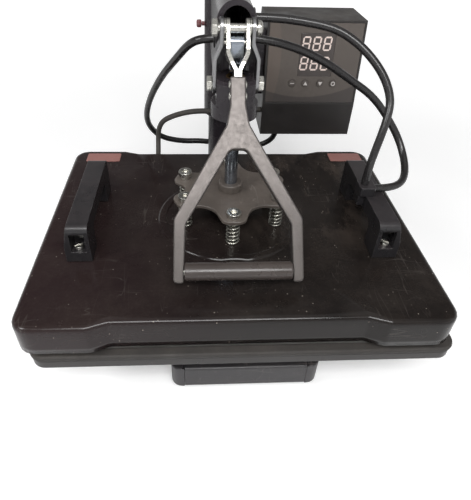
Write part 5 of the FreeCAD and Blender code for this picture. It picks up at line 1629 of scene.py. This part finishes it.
CABLES = (
    Cable("heater_lead", "heater_cable", 0.004, 0.259, (0.1, 0.02, 0.3), (0.14, -0.02, 0.2), (
        (0.014, 0.040, 0.326), (0.038, 0.040, 0.326), (0.065, 0.039, 0.3235),
        (0.0955, 0.033, 0.3195), (0.1165, 0.025, 0.3095), (0.1335, 0.015, 0.296),
        (0.146, 0.005, 0.2805), (0.152, -0.004, 0.2645), (0.150, -0.0115, 0.2505),
        (0.146, -0.0175, 0.2355), (0.1415, -0.022, 0.217), (0.1395, -0.023, 0.1995),
        (0.1395, -0.023, 0.182))),
    Cable("return_lead", "return_cable", 0.004, 0.833, (0.155, 0.05, 0.2475), (0.19, 0.0, 0.1825), (
        (0.084, 0.205, 0.1497), (0.084, 0.205, 0.128), (0.068, 0.209, 0.110),
        (0.040, 0.214, 0.103), (0.008, 0.217, 0.105), (-0.025, 0.217, 0.112),
        (-0.058, 0.215, 0.112), (-0.088, 0.209, 0.121), (-0.104, 0.199, 0.142),
        (-0.106, 0.182, 0.168), (-0.095, 0.150, 0.206), (-0.076, 0.109, 0.247),
        (-0.056, 0.0705, 0.2795), (-0.0426, 0.0472, 0.3005), (-0.028, 0.040, 0.307),
        (0.0, 0.0402, 0.3072), (0.028, 0.040, 0.307), (0.063, 0.0415, 0.299),
        (0.096, 0.045, 0.284), (0.1265, 0.049, 0.265), (0.155, 0.050, 0.2475),
        (0.1765, 0.046, 0.2245), (0.1905, 0.037, 0.205), (0.1965, 0.0225, 0.1885),
        (0.1935, 0.0035, 0.1805), (0.184, -0.014, 0.177), (0.1665, -0.023, 0.1765),
        (0.150, -0.023, 0.1765))),
    Cable("sensor_lead", "sensor_cable", 0.0035, 0.233, (-0.05, 0.17, 0.18), (-0.09, 0.17, 0.115), (
        (-0.092, 0.1538, 0.108), (-0.092, 0.171, 0.108), (-0.092, 0.1863, 0.1209),
        (-0.0913, 0.1898, 0.1406), (-0.084, 0.1778, 0.1606), (-0.069, 0.163, 0.1745),
        (-0.050, 0.154, 0.184), (-0.028, 0.150, 0.188), (-0.002, 0.150, 0.186),
        (0.020, 0.155, 0.184), (0.037, 0.166, 0.182), (0.0517, 0.169, 0.182))),
)


# The studio

@dataclass
class Studio:
    """A pale floor, soft lamps and the camera of the photograph."""

    eye: Point = (-0.038, -0.4271, 0.432)
    down: float = 39.9
    right: float = 4.02
    roll: float = 1.91
    lens: float = 34.777
    shift: float = 0.0306

    def build(self) -> None:
        """Make the floor, the lamps, the world and the camera."""
        floor = plate("floor", [rectangle(-3.0, 3.0, -3.0, 3.0, 0.1)], -0.0202, -0.0002, 0.001)
        floor.data.materials.append(self.paper())
        self.lamp("key", (-0.02, -0.95, 1.2), (0.95, 0.4), 17.0)
        self.lamp("side", (-0.9, -0.5, 0.9), (0.3, 0.3), 4.5)
        self.lamp("top", (0.2, 0.1, 1.5), (1.2, 1.2), 2.0)
        self.lamp("fill", (0.9, -0.6, 0.7), (1.0, 1.0), 1.5)
        self.world()
        self.camera()

    def paper(self) -> bpy.types.Material:
        """The floor's pale paper, white to the eye and to shiny things.

        Returns:
            The material.
        """
        graph = Graph("pale paper")
        graph.set("Base Color", graph.mix(graph.span(graph.noise(3.0), 0.3, 0.7),
                                          (0.86, 0.86, 0.86), (0.9, 0.9, 0.9)))
        graph.set("Roughness", 0.9)
        graph.set("Emission Color", (1.0, 1.0, 1.0, 1.0))
        seen = graph.node("ShaderNodeLightPath").outputs["Is Camera Ray"]
        far = graph.span(graph.distance((0.0, 0.0, 0.0)), 0.35, 1.7, 0.22, 0.8)
        graph.set("Emission Strength", graph.maths("MULTIPLY", seen, far))
        return graph.material

    def lamp(self, name: str, place: Point, size: tuple[float, float], power: float) -> None:
        """A soft lamp of that width and height, which looks at the middle of the press.

        Args:
            name: its name.
            place: counted from the foot of the ram's axis.
            size: its width and height.
            power: in watts.
        """
        light = bpy.data.lights.new(name, "AREA")
        light.shape = "RECTANGLE"
        light.size, light.size_y = size
        light.energy = power
        holder = bpy.data.objects.new(name, light)
        holder.location = Vector(place) + RAM_AXIS
        toward = Vector((0.0, 0.0, 0.15)) - Vector(place)
        holder.rotation_euler = toward.to_track_quat("-Z", "Y").to_euler()
        bpy.context.scene.collection.objects.link(holder)

    def world(self) -> None:
        """Soft light from all round, white to the camera, and in gloss white at the horizon."""
        world = bpy.data.worlds.new("studio")
        world.use_nodes = True
        tree = world.node_tree

        def link(kind: str, output: str, node: bpy.types.Node, socket: int) -> None:
            """Feed one output of a new node into a socket."""
            tree.links.new(tree.nodes.new(kind).outputs[output], node.inputs[socket])

        def blend(share: str, first: object, second: object) -> bpy.types.Node:
            """Choose between two strengths by the kind of ray.

            Args:
                share: the kind of ray that chooses.
                first: the strength where it is 0.
                second: the strength where it is 1.

            Returns:
                The mixing node.
            """
            made = tree.nodes.new("ShaderNodeMix")
            link("ShaderNodeLightPath", share, made, 0)
            for index, value in ((2, first), (3, second)):
                if isinstance(value, float):
                    made.inputs[index].default_value = value
                else:
                    tree.links.new(value.outputs[0], made.inputs[index])
            return made

        height = tree.nodes.new("ShaderNodeSeparateXYZ")
        link("ShaderNodeTexCoord", "Generated", height, 0)
        seen = tree.nodes.new("ShaderNodeMapRange")
        tree.links.new(height.outputs["Z"], seen.inputs["Value"])
        for name, number in (("From Min", 0.05), ("From Max", 0.5), ("To Min", 1.0),
                             ("To Max", 0.08)):
            seen.inputs[name].default_value = number
        strength = blend("Is Camera Ray", blend("Is Glossy Ray", 0.32, seen), 1.0)
        light = tree.nodes["Background"]
        light.inputs["Color"].default_value = (1.0, 1.0, 1.0, 1.0)
        tree.links.new(strength.outputs[0], light.inputs["Strength"])
        bpy.context.scene.world = world

    def camera(self) -> None:
        """The camera, its frame worked out from how far it looks down and right, and its roll."""
        down, right, roll = (math.radians(angle) for angle in (self.down, self.right, self.roll))
        ahead = Vector((math.sin(right) * math.cos(down), math.cos(right) * math.cos(down),
                        -math.sin(down)))
        level = Vector((math.cos(right), -math.sin(right), 0.0))
        upright = level.cross(ahead)
        across = level * math.cos(roll) + upright * math.sin(roll)
        top = upright * math.cos(roll) - level * math.sin(roll)
        lens = bpy.data.cameras.new("camera")
        lens.sensor_fit = "HORIZONTAL"
        lens.sensor_width = 36.0
        lens.lens = self.lens
        lens.shift_x = self.shift
        lens.clip_start = 0.01
        holder = bpy.data.objects.new("camera", lens)
        turn = Matrix((across, top, -ahead)).transposed().to_4x4()
        holder.matrix_world = Matrix.Translation(Vector(self.eye) + RAM_AXIS) @ turn
        bpy.context.scene.collection.objects.link(holder)
        bpy.context.scene.camera = holder


def main() -> None:
    """Build the studio, then each sub-assembly in order."""
    logging.basicConfig(level=logging.INFO, format="%(name)s: %(message)s")
    bpy.context.scene.view_settings.view_transform = "Standard"
    for assembly in (Studio(), Base(), Arm(), Handle(), Ram(), Platen(), ControlBox()):
        assembly.build()
    for cable in CABLES:
        cable.build()


if __name__ == "__main__":
    main()
